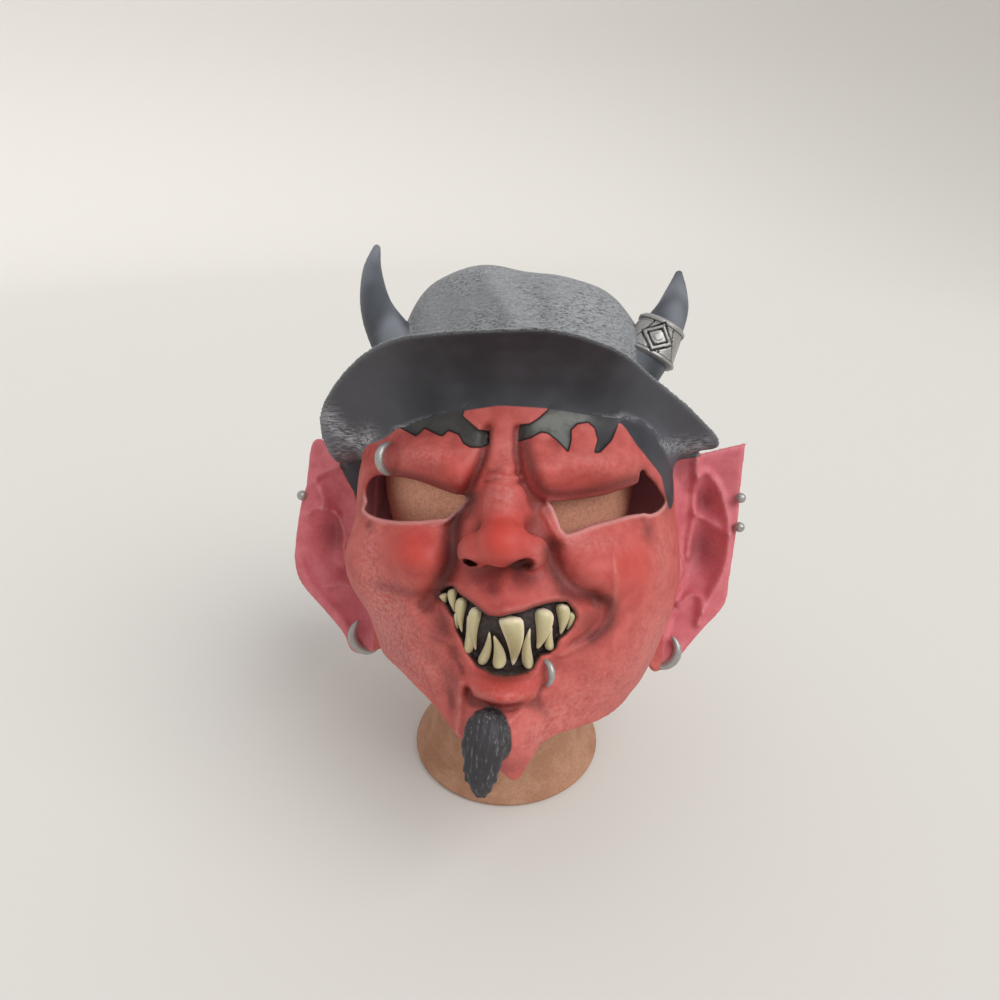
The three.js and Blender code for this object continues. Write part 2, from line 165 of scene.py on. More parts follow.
def step(value, low, high):
    """A smooth step from 0 at low to 1 at high."""
    t = np.clip((value - low) / (high - low), 0.0, 1.0)
    return t * t * (3.0 - 2.0 * t)


# %% [markdown]
# ## The plain hood
#
# Under all the features is a plain egg with a half width, a front depth and a back depth at each height.
# These are the sections that the CAD model uses, run through the same smooth curve.

# %% Hood sections
hood_sections = np.array([
    [-146, 60, 84, 108], [-120, 76, 89, 113], [-90, 91, 92, 115], [-50, 103, 92, 114],
    [0, 99, 91, 112], [35, 94, 92, 108], [50, 90, 90, 104], [75, 84, 86, 98],
    [105, 76, 78, 88], [130, 60, 62, 70], [144, 38, 40, 46],
], dtype=float)


def smooth_curve(points, steps, closed=False):
    """Points along a smooth curve through the given ones."""
    points = np.asarray(points, dtype=float)
    if closed:
        padded = np.vstack([points[-1:], points, points[:2]])
    else:
        padded = np.vstack([points[:1], points, points[-1:]])
    t = np.linspace(0.0, 1.0, steps, endpoint=False)[:, None]
    out = []
    for p0, p1, p2, p3 in zip(padded, padded[1:], padded[2:], padded[3:]):
        out.append(0.5 * (
            2 * p1 + (p2 - p0) * t + (2 * p0 - 5 * p1 + 4 * p2 - p3) * t**2
            + (3 * p1 - p0 - 3 * p2 + p3) * t**3
        ))
    if not closed:
        out.append(points[-1:])
    return np.vstack(out)


section_curve = smooth_curve(hood_sections, 12)


def hood_section(height):
    """Half width, front depth and back depth of the hood at some heights."""
    height = np.clip(height, hood_sections[0, 0], hood_sections[-1, 0] + 6)
    return [np.interp(height, section_curve[:, 0], section_curve[:, i]) for i in (1, 2, 3)]


# %% [markdown]
# ## Broad forms of the face
#
# A face is read from its large swellings before its wrinkles: brows, cheeks, muzzle, lip and chin. Each is a
# round hill with a place, a spread and a height, added to the hood along its surface.

# %% Broad forms
face_forms = [
    # name, place across and up, spread across and up, how far it stands out
    ("left brow", (-54, 26), (26, 10), 13),
    ("left brow, inner end", (-32, 16), (11, 10), 8),
    ("right brow", (42, 24), (29, 12), 14),
    ("right brow, inner end", (15, 15), (9, 13), 7),
    ("frown", (-6, 28), (8, 14), -3),
    ("left eye hollow", (-54, 0), (26, 10), -9),
    ("right eye hollow", (52, 0), (28, 10), -9),
    ("left cheek", (-58, -30), (24, 16), 21),
    ("right cheek", (50, -34), (29, 19), 20),
    ("left jowl", (-60, -84), (22, 24), 7),
    ("right jowl", (62, -84), (26, 26), 8),
    ("nose root", (-6, 2), (14, 26), 12),
    ("muzzle", (-1, -58), (31, 21), 23),
    ("lower lip", (-4, -97), (20, 7.5), 18),
    ("chin", (-3, -124), (22, 24), 20),
]


def hill(x, z, at, spread):
    """A round hill 1 high, seen from the front."""
    return np.exp(-((x - at[0]) / spread[0]) ** 2 - ((z - at[1]) / spread[1]) ** 2)


def hills(x, z, forms):
    """The sum of some hills, each with a place, a spread and a height, and a name or none before them."""
    return sum(height * hill(x, z, at, spread) for *_, at, spread, height in forms)


# %% [markdown]
# ## Openings and outlines
#
# The eye openings, the mouth and the sunken painted brows are outlines seen from the front. One function
# gives the distance to an outline, less than 0 inside it, and one the distance to an open line.

# %% Outlines
left_eye = [
    (-83, 12.8), (-88, 8.5), (-89.5, 2), (-88.3, -3), (-90.3, -7.4), (-86, -10.2), (-78, -12),
    (-65.5, -12), (-57.5, -11.4), (-50, -10.6), (-43.5, -9.5), (-38, -8.8), (-34.5, -5.5), (-31, -2),
    (-27.5, 2.5), (-31, 3.7), (-35.5, 4.9), (-44, 7.1), (-54, 10.3), (-64, 12.2), (-73, 12.6),
]
right_eye = [
    (18, 2), (24.7, 2), (35, 3.3), (45, 4.9), (50.5, 6.2), (57.4, 8.8), (64.6, 11.4), (67.5, 12.9),
    (68, 15.5), (68.8, 19.7), (70.9, 20), (73.2, 17.1), (79.2, 12.5), (82, 8.9), (85.5, 4.6),
    (86.7, 1.4), (85, -1.2), (81.2, -3.6), (76.9, -4.8), (72.9, -4.2), (67.8, -4.6), (60.7, -5.7),
    (52.7, -7.5), (47.6, -8.6), (40, -10.6), (34.2, -12.9), (29.4, -14.5), (27.5, -14.6), (25, -11.9),
    (23.6, -8), (22, -4.3), (20.5, -0.9),
]
mouth = [
    (-40, -50), (-36, -46.5), (-32.5, -45.1), (-28.7, -48.1), (-19.8, -52.2), (-11.3, -56.8),
    (-5.5, -56.6), (1, -54.6), (5.9, -53.9), (11.8, -51.7), (17.3, -50.4), (22.9, -49.6),
    (28.6, -49.8), (32.2, -54.3), (33.9, -58.8), (32.1, -64.2), (28.7, -68.2), (25.3, -70.4),
    (23.8, -75.5), (20.5, -78.5), (15.9, -79.5), (14, -82.7), (12.1, -86.7), (9.3, -88.6),
    (3.6, -89.2), (-1.9, -89.7), (-7.7, -89.5), (-13.7, -88.4), (-18.1, -87.1), (-20.6, -84.1),
    (-23.7, -80.9), (-26.6, -73.5), (-29.6, -68.3), (-31, -61.8), (-33.3, -59.2), (-35.8, -55.8),
    (-38.5, -53),
]
left_patch = [
    (-86, 42.5), (-69, 41.3), (-56.5, 35.7), (-52, 40.3), (-41, 35.6), (-37.6, 39), (-31.7, 36.8),
    (-28.5, 32), (-24.6, 29.9), (-19.3, 30), (-15, 32), (-15.4, 38.8), (-20.9, 39.2), (-25.6, 43),
    (-30.3, 46.8), (-27, 56), (-56, 60), (-86, 56),
]
right_patch = [
    (0.7, 33.8), (7, 35.5), (12.7, 38.9), (16.4, 38.4), (21.3, 34.8), (27.2, 28.6), (28.7, 35),
    (28.6, 40.5), (31.8, 43.9), (37.8, 45.3), (41.7, 42.2), (43.3, 35.6), (41, 28.4), (44.3, 29.1),
    (51, 36), (54.3, 43.5), (58, 60), (20, 60), (16.1, 50.8), (10.9, 45.8), (6.7, 43), (1.5, 42.3),
]


def line_distance(x, z, points):
    """Distance to an open line."""
    best = np.full(np.broadcast(x, z).shape, 1e6)
    for (ax, az), (bx, bz) in zip(points, points[1:]):
        ex, ez = bx - ax, bz - az
        t = np.clip(((x - ax) * ex + (z - az) * ez) / (ex * ex + ez * ez), 0.0, 1.0)
        best = np.minimum(best, np.hypot(x - ax - t * ex, z - az - t * ez))
    return best


def outline_distance(x, z, corners):
    """Distance to a closed outline, negative inside."""
    ring = list(corners) + [corners[0]]
    inside = np.zeros(np.broadcast(x, z).shape, dtype=bool)
    for (ax, az), (bx, bz) in zip(ring, ring[1:]):
        if az != bz:
            crosses = ((z < az) != (z < bz)) & (x < ax + (z - az) * (bx - ax) / (bz - az))
            inside ^= crosses
    distance = line_distance(x, z, ring)
    return np.where(inside, -distance, distance)


# %% [markdown]
# ## Wrinkles, folds and rims
#
# These are lines a sculptor draws with a tool: a groove is negative, a ridge positive. Each has a path seen
# from the front, a width and a height. Sunk and raised areas come from the outlines.

# %% Lines drawn in the face
face_lines = [
    # name, path, width, height
    ("left smile fold", [(-30, -4), (-33, -14), (-33.5, -28), (-36, -40), (-42, -49), (-49, -58)], 6.0, -7.0),
    ("left mouth fold", [(-44, -52), (-41, -62), (-35, -72), (-30, -83)], 5.0, -3.0),
    ("right smile fold", [(19, -24), (25, -35), (34, -43), (43, -48)], 6.0, -7.0),
    ("right mouth fold", [(43, -48), (47, -56), (43, -66), (34, -72)], 5.0, -3.0),
    ("right cheek fold", [(53, -24), (54, -50), (47.5, -67.5), (36, -75.5), (27, -79.5)], 1.8, 2.0),
    ("left brow roll", [(-78, 25), (-62, 21), (-46, 18), (-33, 12)], 7.0, 3.5),
    ("right brow roll", [(14, 20), (22, 14), (42, 17), (62, 22)], 8.0, 3.5),
    ("left frown", [(-16, 40), (-18, 24), (-23, 13), (-28, 4)], 3.0, -5.0),
    ("right frown", [(0, 40), (1, 24), (3, 13), (7, 5), (13, 1)], 3.0, -5.0),
    ("right brow dent", [(17, 34), (19, 24)], 4.0, -1.8),
    ("left brow dent", [(-35, 34), (-31, 27)], 4.0, -1.5),
    ("left lid roll", [(-66, 17), (-51, 13.5), (-37, 8), (-29, 4)], 2.2, 1.2),
    ("right lid roll", [(18, 7), (34, 8), (53, 10.5), (68, 15)], 2.2, 1.2),
    ("left eye curl", [(-46, -13), (-40, -12), (-35, -7), (-33, -2)], 1.6, 2.4),
    ("right nose sheet", [(4, 6), (12, 1), (17, -6), (22, -15), (27, -19)], 2.0, 2.4),
    ("left crow foot", [(-84, -13), (-92, -20)], 2.0, -2.5),
    ("dent under the right eye", [(72, -7), (76, -14), (81, -20)], 3.6, -3.4),
    ("right cheek top", [(30, -17), (48, -12), (62, -10)], 4.0, 1.6),
    ("fold under lip", [(-22, -101), (-18.5, -105.5), (3, -105.5), (12, -102.5), (17, -97)], 3.2, -4.0),
    ("left edge of the lip", [(-27, -90), (-25, -95), (-22.5, -101)], 2.0, -2.5),
    ("left chin ridge", [(-26, -96), (-27, -110), (-28, -126)], 2.4, 3.5),
    ("right chin ridge", [(13, -101), (6, -108), (0, -113)], 2.2, 2.4),
    ("right chin groove", [(15, -106), (20, -117), (17, -130)], 5.0, -2.0),
    ("middle of upper lip", [(-3, -35), (-3, -52)], 3.0, 1.4),
    ("left cheek fold", [(-66, -52), (-58, -63), (-49, -70), (-40, -73.5), (-32, -76)], 1.9, 2.0),
    ("left jaw crease", [(-56, -78), (-46, -88), (-36, -98), (-31, -112)], 4.0, -1.5),
]



# %% Relief of lines, rims and sunken areas
mouth_depth = 8.0
patch_depth = 2.0
eye_rim = 1.6
lip_rim = 1.6


def drawn_line(x, z, path, width):
    """1 on a smooth line through some points, fading out over about this width."""
    return np.exp(-(line_distance(x, z, smooth_curve(path, 4)) / width) ** 2)


def drawn_lines(x, z, lines):
    """The sum of some lines, each with a name, a path, a width and a height."""
    return sum(height * drawn_line(x, z, path, width) for _, path, width, height in lines)


def fine_relief(x, z):
    """Wrinkles, the rims of the eyes and lips, and the sunken brows and mouth, in millimetres."""
    total = drawn_lines(x, z, face_lines)
    for eye in (left_eye, right_eye):
        total += eye_rim * np.exp(-((outline_distance(x, z, eye) - 1.0) / 1.5) ** 2)
    for patch in (left_patch, right_patch):
        total -= patch_depth * step(-outline_distance(x, z, patch), -0.6, 0.9)
    lips = outline_distance(x, z, mouth)
    total += lip_rim * np.exp(-((lips - 2.6) / 2.2) ** 2)
    total -= mouth_depth * step(-lips, -0.8, 1.6)
    return total


# %% Relief maps on the voxel columns
across = sides[0][:, None].astype(float)
up = sides[2][None, :].astype(float)
in_face = step(66.0 - up, 0.0, 12.0)
broad_map = hills(across, up, face_forms) * in_face
fine_map = fine_relief(across, up) * in_face
relief = broad_map + fine_map
print("relief from", round(float(relief.min()), 1), "to", round(float(relief.max()), 1), "mm")

# %% [markdown]
# ## The hood as a shell
#
# The outer face is the plain hood moved out by both reliefs. The inside of a poured casting is softer than
# its outside, because latex rounds every hollow, so the inner face takes the broad forms alone.

# %% A rounded form
def ellipsoid(x, y, z, at, size):
    """About the distance to an ellipsoid."""
    k = np.sqrt(((x - at[0]) / size[0]) ** 2 + ((y - at[1]) / size[1]) ** 2 + ((z - at[2]) / size[2]) ** 2)
    g = np.sqrt(((x - at[0]) / size[0] ** 2) ** 2 + ((y - at[1]) / size[1] ** 2) ** 2
                + ((z - at[2]) / size[2] ** 2) ** 2) + 1e-6
    return k * (k - 1.0) / g


# %% Plain hood
wall = 3.4
thinnest_wall = 2.4
crown_leans = -5.5
relief_fades = 0.6
shifted = X - crown_leans * step(Z, 92.0, 140.0)
width, front, back = [v.astype(np.float32)[None, None, :] for v in hood_section(sides[2])]
depth = np.where(Y < 0, front, back)
ratio = np.sqrt((shifted / width) ** 2 + (Y / depth) ** 2) + 1e-6
slope = np.sqrt((shifted / width**2) ** 2 + (Y / depth**2) ** 2) + 1e-9
hood = (ratio - 1.0) * ratio / slope
facing_front = np.clip(-Y / depth**2 / slope, 0.0, 1.0)
turned = (np.sqrt(np.clip(1.0 - (X / width) ** 2, 0.0, 1.0)) ** relief_fades).astype(np.float32)
print("widest half width:", round(float(width.max()), 1), "mm")

# %% [markdown]
# The crown of the hat is slack: it has waves of two lengths round it, a pinched ridge, three hollows and a
# top that drops to one side.

# %% Slouched crown
crown_rounding = 16.0


def crown_top(x):
    """The slouched top of the hat: a bump on one side and a lower shelf on the other."""
    return 149.5 - 14.5 * step(x, -46.0, 12.0) + 0.05 * np.maximum(x - 10.0, 0.0)


crown_slack = (
    1.5 * np.sin(3.0 * np.arctan2(Y, X) + Z / 26.0) * np.exp(-((Z - 95.0) / 34.0) ** 2)
    + 0.8 * np.sin(7.0 * np.arctan2(Y, X) - Z / 15.0 + 1.0) * np.exp(-((Z - 92.0) / 26.0) ** 2)
)
hat_creases = [
    # name, path seen from the front, width, height
    ("pinch ridge", [(-24, 132), (-17, 121), (-8, 109), (-3, 98)], 7.0, 3.0),
    ("hollow beside the ridge", [(-4, 128), (4, 117), (8, 104)], 10.0, -4.5),
    ("right hollow", [(34, 132), (38, 118), (36, 104)], 10.0, -3.0),
    ("left hollow", [(-52, 130), (-48, 116), (-44, 104)], 12.0, -3.0),
]
crease_map = drawn_lines(across, up, hat_creases)
print("creases from", round(float(crease_map.min()), 1), "to", round(float(crease_map.max()), 1), "mm")

# %% Outer and inner face
face_map = (broad_map + fine_map + crease_map).astype(np.float32)[:, None, :]
outer = hood - face_map * facing_front * turned - crown_slack
recess_map = mouth_depth * step(-outline_distance(across, up, mouth), -7.0, -1.0)
inner_relief = (broad_map - recess_map).astype(np.float32)[:, None, :]
side_forms = {
    "cheek": ((-77, -36, -38), (28, 32, 30)),
    "temple": ((-86.5, -27, 4), (12.5, 30, 30)),
}
inner = hood + wall - inner_relief * facing_front * turned
part, x, y, z = region((-125, -90, -90), (-30, 30, 60))
for at, size in side_forms.values():
    form = ellipsoid(x, y, z, at, size).astype(np.float32)
    outer[part] = join(outer[part], form, fillets["cheek and temple"])
    inner[part] = join(inner[part], form + 1.2 * wall, fillets["cheek and temple"])
inner = np.maximum(inner, outer + thinnest_wall)
outer = cut(outer, crown_top(X) - Z, crown_rounding)
inner = cut(inner, crown_top(X) - wall - Z, crown_rounding)
del ratio, slope, crown_slack
print("hood field ready")

# %% [markdown]
# In front the hem runs up from the chin flap to the ears. Behind them it is level, where nobody sees it.

# %% Hem
hem_line = smooth_curve([
    (-110, -101), (-80, -98), (-66, -100), (-53, -108.5), (-42, -117), (-34.5, -125), (-28, -130),
    (-16, -138), (-6, -143), (0, -149), (3.5, -151), (7.5, -148), (11, -140), (15, -133), (19, -129),
    (28, -125.5), (46, -124), (57, -122), (66, -118), (75, -111), (110, -107),
], 5)
hem_behind = -106.0
hem = np.interp(X, hem_line[:, 0], hem_line[:, 1])
hem = hem_behind + (hem - hem_behind) * step(-Y, 0.0, 30.0)
print("hem from", round(float(hem.min()), 1), "to", round(float(hem.max()), 1), "mm")

# %% [markdown]
# ## The nose
#
# A ball, two wings and a bridge, joined softly, then two nostrils pushed in.

# %% Nose
nose_ball = ((-5, -113, -19), (14, 15, 12))
nose_parts = [
    # name, middle, half sizes, fillet
    ("bridge", (-6, -97, -1), (12, 14.5, 22), 9.0),
    ("left wing", (-19.5, -105, -24), (9.5, 13, 9), 4.5),
    ("right wing", (9.5, -105, -24), (9.5, 13, 9), 4.5),
]
part, x, y, z = region((-45, -146, -50), (36, -60, 40))
nose = ellipsoid(x, y, z, *nose_ball)
for _, at, size, nose_fillet in nose_parts:
    nose = join(nose, ellipsoid(x, y, z, at, size), nose_fillet)
face = join(outer[part], nose.astype(np.float32), fillets["nose"])
print("nose parts:", 1 + len(nose_parts))

# %% Nostrils
nostril_y = -116
nostril_deep = 15
nostril_edge = 1.2
nostrils = [
    # place across and up, half width and height, lean
    ((-21.5, -29.8), (4.6, 2.2), -0.3),
    ((4.2, -30.6), (7.2, 4.3), 0.36),
]
for at, half, lean in nostrils:
    tilted = z - at[1] - lean * (x - at[0])
    hole = ellipsoid(x, y, tilted, (at[0], nostril_y, 0), (half[0], nostril_deep, half[1]))
    face = cut(face, hole, nostril_edge)
print("nostrils:", len(nostrils))

# %% Wrinkles over the nose
nose_wrinkles = [
    # name, path, width, height
    ("upper wrinkle", [(-15, 16.3), (-10.2, 17.3), (-4, 16.4), (0.5, 16.6)], 1.8, -2.0),
    ("roll between", [(-15, 14.2), (-10, 15.2), (-4, 14.7), (1, 14.2)], 1.3, 0.7),
    ("lower wrinkle", [(-16, 12.2), (-10, 12.7), (-3, 12.5), (2, 11.8)], 1.8, -2.0),
]
nose_lines = drawn_lines(across[part[0]], up[:, part[2]], nose_wrinkles)
face = (face - nose_lines[:, None, :] * step(-y, 78.0, 92.0)).astype(np.float32)
outer[part] = face
nose_hollow = ellipsoid(x, y, z, (-5, -106, -15), (8, 13, 9)).astype(np.float32)
inner[part] = join(inner[part], nose_hollow, 4.0)
print("wrinkles:", len(nose_wrinkles))

# %% [markdown]
# ## Goatee
#
# The beard is cast in one with the chin: a pointed lock with combed grooves.

# %% A tapering form
def taper(x, y, z, path, radii, flat=1.0):
    """About the distance to a tapering round form along a path. flat squeezes it across Y."""
    best = None
    for a, b, ra, rb in zip(path, path[1:], radii, radii[1:]):
        a, b = np.array(a, dtype=float), np.array(b, dtype=float)
        e = b - a
        t = np.clip(((x - a[0]) * e[0] + (y - a[1]) * e[1] + (z - a[2]) * e[2]) / (e @ e), 0.0, 1.0)
        off_x, off_y, off_z = x - a[0] - t * e[0], (y - a[1] - t * e[1]) / flat, z - a[2] - t * e[2]
        d = np.sqrt(off_x**2 + off_y**2 + off_z**2) - (ra + (rb - ra) * t)
        best = d if best is None else np.minimum(best, d)
    return best


# %% Goatee
strand_apart = 4.2
goatee_line = smooth_curve([
    (-12, -105, -113), (-11.7, -107.5, -119), (-12, -109, -128), (-13.3, -109, -140),
    (-12.8, -107.5, -151.5),
], 3)
along = np.linspace(0, 1, len(goatee_line))
goatee_radii = np.interp(along, [0, 0.2, 0.45, 0.8, 1], [5.8, 10.8, 12.0, 8.0, 2.0])
goatee_part, x, y, z = region((-36, -142, -162), (12, -90, -92))
goatee = taper(x, y, z, goatee_line, goatee_radii, 0.7)
waves = x + 12 + 3.0 * np.sin(z / 8.0)
comb = 0.6 * np.sin(waves * 2.0 * math.pi / strand_apart + 0.9 * np.sin(z / 5.0))
tufts = 0.35 * np.sin(z * 2.0 * math.pi / 7.0 + np.abs(x + 12) * 0.5) * step(np.abs(x + 12.0), 4.0, 10.0)
goatee = (goatee - comb - tufts).astype(np.float32)
print("goatee from", goatee_line[0], "to", goatee_line[-1])

# %% [markdown]
# ## Turning the hood into a casting
#
# Outer face, minus inner space, minus what hangs below the hem, with the eye openings cut straight
# through from the front.

# %% Shell with its openings
hem_rounding = 1.2
eye_rounding = 2.2
casting = cut(outer, inner, hem_rounding)
casting = np.maximum(casting, hem.astype(np.float32) - Z)
lock = np.maximum(goatee, -inner[goatee_part])
casting[goatee_part] = join(casting[goatee_part], lock, fillets["goatee"])
for eye in (left_eye, right_eye):
    low_x, high_x = min(p[0] for p in eye) - 8, max(p[0] for p in eye) + 8
    part, x, y, z = region((low_x, -140, -26), (high_x, -22, 32))
    opening = outline_distance(across[part[0]], up[:, part[2]], smooth_curve(eye, 3, closed=True))
    casting[part] = cut(casting[part], opening.astype(np.float32)[:, None, :], eye_rounding)
print("shell ready")

# %% [markdown]
# ## The hat brim
#
# The brim is a sheet pulled out between the line where it leaves the hat and the line of its edge. It is
# easier to loft such a sheet as a mesh, and OpenVDB turns any closed mesh into the same kind of distance
# field as the rest, so it melts into the crown with a fillet.

# %% Brim
brim_root = [
    (0, -88, 52), (42, -78, 48), (74, -53, 34), (86, -36, 22), (90, -22, 17), (91, -8, 17),
    (91, 8, 20), (88, 34, 25), (60, 78, 30), (0, 102, 32), (-60, 78, 30), (-90, 25, 24),
    (-90, -22, 17), (-75, -53, 31), (-42, -78, 46),
]
brim_edge = [
    (0, -125, 87), (43, -110, 84), (77, -70, 70), (106, -42, 52), (121, -26, 40), (116.5, -10, 35),
    (111, 8, 31), (107, 34, 27), (78, 106, 24), (0, 138, 22), (-76, 112, 24), (-113, 42, 24),
    (-117, -28, 21), (-117, -53, 54), (-70, -101, 84),
]
print("brim points:", len(brim_root), "and", len(brim_edge))

# %% From a sheet to a field
field_reach = 8.0


def level_set(points, quads):
    """The distance field of a closed mesh, on the block of voxels."""
    moved = ((points - block_low) / voxel).astype(np.float32)
    unit = vdb.createLinearTransform(voxelSize=1.0)
    grid = vdb.FloatGrid.createLevelSetFromPolygons(
        moved, quads=quads.astype(np.uint32), transform=unit, halfWidth=field_reach)
    out = np.full(shape, field_reach, dtype=np.float32)
    grid.copyToArray(out)
    return out * voxel


# %% Brim sheet
brim_thickness = 4.5
brim_sag = 7.0
brim_tuck = 9.0
ripple_height = 1.3
ripples = 9


def brim_field():
    """The brim as a field: rings of corners from its root out to its edge and back underneath."""
    columns, rows = 240, 36
    root = smooth_curve(brim_root, columns // len(brim_root), closed=True)
    edge = smooth_curve(brim_edge, columns // len(brim_edge), closed=True)
    out = edge - root
    length = np.linalg.norm(out, axis=1, keepdims=True)
    along = np.stack([-root[:, 1], root[:, 0], np.zeros(columns)], axis=1)
    along /= np.linalg.norm(along, axis=1, keepdims=True)
    normal = np.cross(out / length, along)
    start = root - out / length * brim_tuck
    turns = np.arange(columns)[:, None] * 2 * math.pi / columns
    rings = []
    for k in range(rows):
        v = 2.0 * math.pi * k / rows
        reach = (1.0 - math.cos(v)) / 2.0
        rolled = 1.1 * math.exp(-(((reach - 0.97) / 0.05) ** 2))
        half = brim_thickness / 2 * (0.62 + 0.3 * reach) + rolled
        thick = math.copysign(abs(math.sin(v)) ** 0.7, math.sin(v)) * half
        ripple = ripple_height * np.sin(turns * ripples + 0.7) * reach**2
        sagged = brim_sag * math.sin(reach * math.pi) + thick + ripple
        rings.append(start + (edge - start) * reach + normal * sagged)
    points = np.concatenate(rings)
    i, k = np.meshgrid(np.arange(columns), np.arange(rows), indexing="ij")
    a = k * columns + i
    b = k * columns + (i + 1) % columns
    c = ((k + 1) % rows) * columns + (i + 1) % columns
    d = ((k + 1) % rows) * columns + i
    quads = np.stack([a, b, c, d], axis=-1).reshape(-1, 4)
    return level_set(points, quads)


brim = brim_field()
print("brim field from", round(float(brim.min()), 1), "mm inside")
joined = join(casting, np.maximum(brim, -inner), fillets["brim"])

# %% [markdown]
# ## Horns
#
# Each horn is a smooth tapering spike, bent by a curve through five points with a radius at each.

# %% Horns
horn_lines = {
    # points along the middle with the radius there
    "left": [(-57, -36, 60, 16), (-77, -38, 92, 14), (-90.5, -31, 115, 10), (-96, -22, 139, 6.2),
             (-95.5, -13, 157, 2.5)],
    "right": [(55, -35, 62, 16.5), (74, -38, 90, 14.5), (87, -33, 112, 10.4), (91.5, -26, 126, 7.2),
              (94.5, -17, 142, 2.3)],
}
horns = np.full(shape, nothing_near, dtype=np.float32)
for name, line in horn_lines.items():
    path = smooth_curve(line, 6)
    low, high = path[:, :3].min(axis=0) - 18, path[:, :3].max(axis=0) + 8
    part, x, y, z = region(low, high)
    horn = taper(x, y, z, path[:, :3], path[:, 3])
    horns[part] = np.minimum(horns[part], horn.astype(np.float32))
joined = join(joined, np.maximum(horns, -inner), fillets["horns"])
print("horns ready")

# %% [markdown]
# ## Ears
#
# An ear is a cupped plate. Seen from the front it has an outline, and at each place a front and a back
# face. Its folds are drawn like the wrinkles of the face: a rolled rim, a groove inside it, a bowl by the
# cheek, a flap over the bowl and a thick lobe.

# %% Ears as drawn
ears_drawn = {
    -1: {
        "outline": [(88, 32), (106, 30), (118, 25), (125, 23.5), (131, 31), (137, 35), (142, 30), (145, 4),
                    (148, -5), (152, -33), (152, -50), (147, -63), (130, -80), (116, -95), (111, -105),
                    (103, -107), (95, -104), (88, -97), (86, -70), (84, -25)],
        "lines": [
            ("upper fold", [(139, 6), (137, 11), (131, 14.5), (123, 17)], 2.4, 3.5),
            ("ridge by the stud", [(135, 2), (133, -6), (133, -11)], 3.2, 5.0),
            ("top of the bowl", [(144, -15), (138, -10.5), (132.6, -11.8), (126, -14.2)], 2.8, 3.5),
            ("edge of the bowl", [(126, -14.2), (122.7, -23), (120.4, -29.4), (121, -36)], 2.2, 4.0),
            ("fold by the cheek", [(109, -26), (117, -33), (119.5, -40), (118, -48), (111, -58)], 2.6, 4.5),
            ("line under the pocket", [(130, -64), (121.4, -62), (108, -65)], 2.4, 3.5),
            ("lower rim", [(150, -44), (142, -61), (128, -75), (116, -87)], 3.0, 3.0),
        ],
        "hills": [((129, -29), (8, 15), -8.0), ((119, -55), (6, 5), -4.5), ((110, 2), (9, 16), 4.0),
                  ((103, -96), (9, 9), 3.0)],
        "flap": [(84, -24), (100, -24), (110, -29), (115, -34), (117, -41), (115, -48), (108, -57), (96, -62),
                 (84, -60)],
    },
    1: {
        "outline": [(88, 30), (109, 30), (116, 31), (143, 38), (144.5, 36), (142.5, 10), (142, -8),
                    (138, -46), (135, -66), (122.5, -81), (107, -99), (101, -106), (95, -109), (88, -106),
                    (86, -70), (84, -25)],
        "lines": [
            ("upright ridge", [(113, 28), (114, 12), (114.5, -12), (112, -36)], 3.0, 4.5),
            ("inner rim", [(115, 16), (121, 20), (129, 10), (135, -9), (136, -25), (134, -41), (128, -57),
                           (121, -71)], 2.8, 4.0),
            ("cross ridge", [(115, -7), (124, -12), (135, -20)], 2.8, 3.5),
            ("notch", [(99, -64), (103, -70)], 2.6, -4.0),
            ("ridge over the lobe", [(103, -72), (113, -62), (120, -63), (118, -79)], 2.4, 3.5),
        ],
        "hills": [((123, 1), (6, 9), -7.0), ((122, -32), (9, 17), -8.0), ((104, 2), (7, 18), 4.0),
                  ((102, -96), (9, 9), 3.0)],
        "flap": [(84, -6), (97, -13), (102, -27), (108, -38), (109.5, -46), (107, -52), (98, -60), (84, -62)],
    },
}
print("ear lines:", [len(drawn["lines"]) for drawn in ears_drawn.values()])

# %% Ears as plates
ear_cup = 12.0
cup_reach = 24.0
flap_height = 7.0
ear_edge_out = 1.6


def ear_faces(side, u, z):
    """Outline distance, and the front and back depths of an ear at places out from the middle and up."""
    drawn = ears_drawn[side]
    edge = outline_distance(u, z, smooth_curve(drawn["outline"], 4, closed=True))
    deep = np.clip(-edge / cup_reach, 0.0, 1.0)
    middle = 2.0 + ear_cup * deep ** 1.3 + 0.16 * (u - 100.0)
    out = drawn_lines(u, z, drawn["lines"]) + hills(u, z, drawn["hills"])
    out = out + flap_height * step(-outline_distance(u, z, drawn["flap"]), -1.5, 2.0)
    half = 2.2 + 1.4 * step(100.0 - u, 0.0, 12.0)
    face_y = middle - half - out
    return edge, face_y, np.maximum(middle + half - 0.35 * out, face_y + 3.0)


ears = np.full(shape, nothing_near, dtype=np.float32)
for side in (-1, 1):
    low_x, high_x = sorted((side * 80.0, side * 158.0))
    part, x, y, z = region((low_x, -30, -118), (high_x, 40, 44))
    edge, face_y, rear_y = ear_faces(side, side * across[part[0]], up[:, part[2]])
    face_y, rear_y, edge = [v.astype(np.float32)[:, None, :] for v in (face_y, rear_y, edge)]
    ears[part] = cut(np.maximum(face_y - y, y - rear_y) * 0.8, ear_edge_out - edge, 4.0)
joined = join(joined, np.maximum(ears, -inner), fillets["ears"])
print("ears ready")

# %% [markdown]
# ## From voxels to a mesh
#
# OpenVDB walks the zero surface of the field and returns quads. A decimate modifier then takes faces out of
# the calm parts (the inside, the crown) and leaves them in the wrinkles, down to a mesh that is light
# enough for a library.

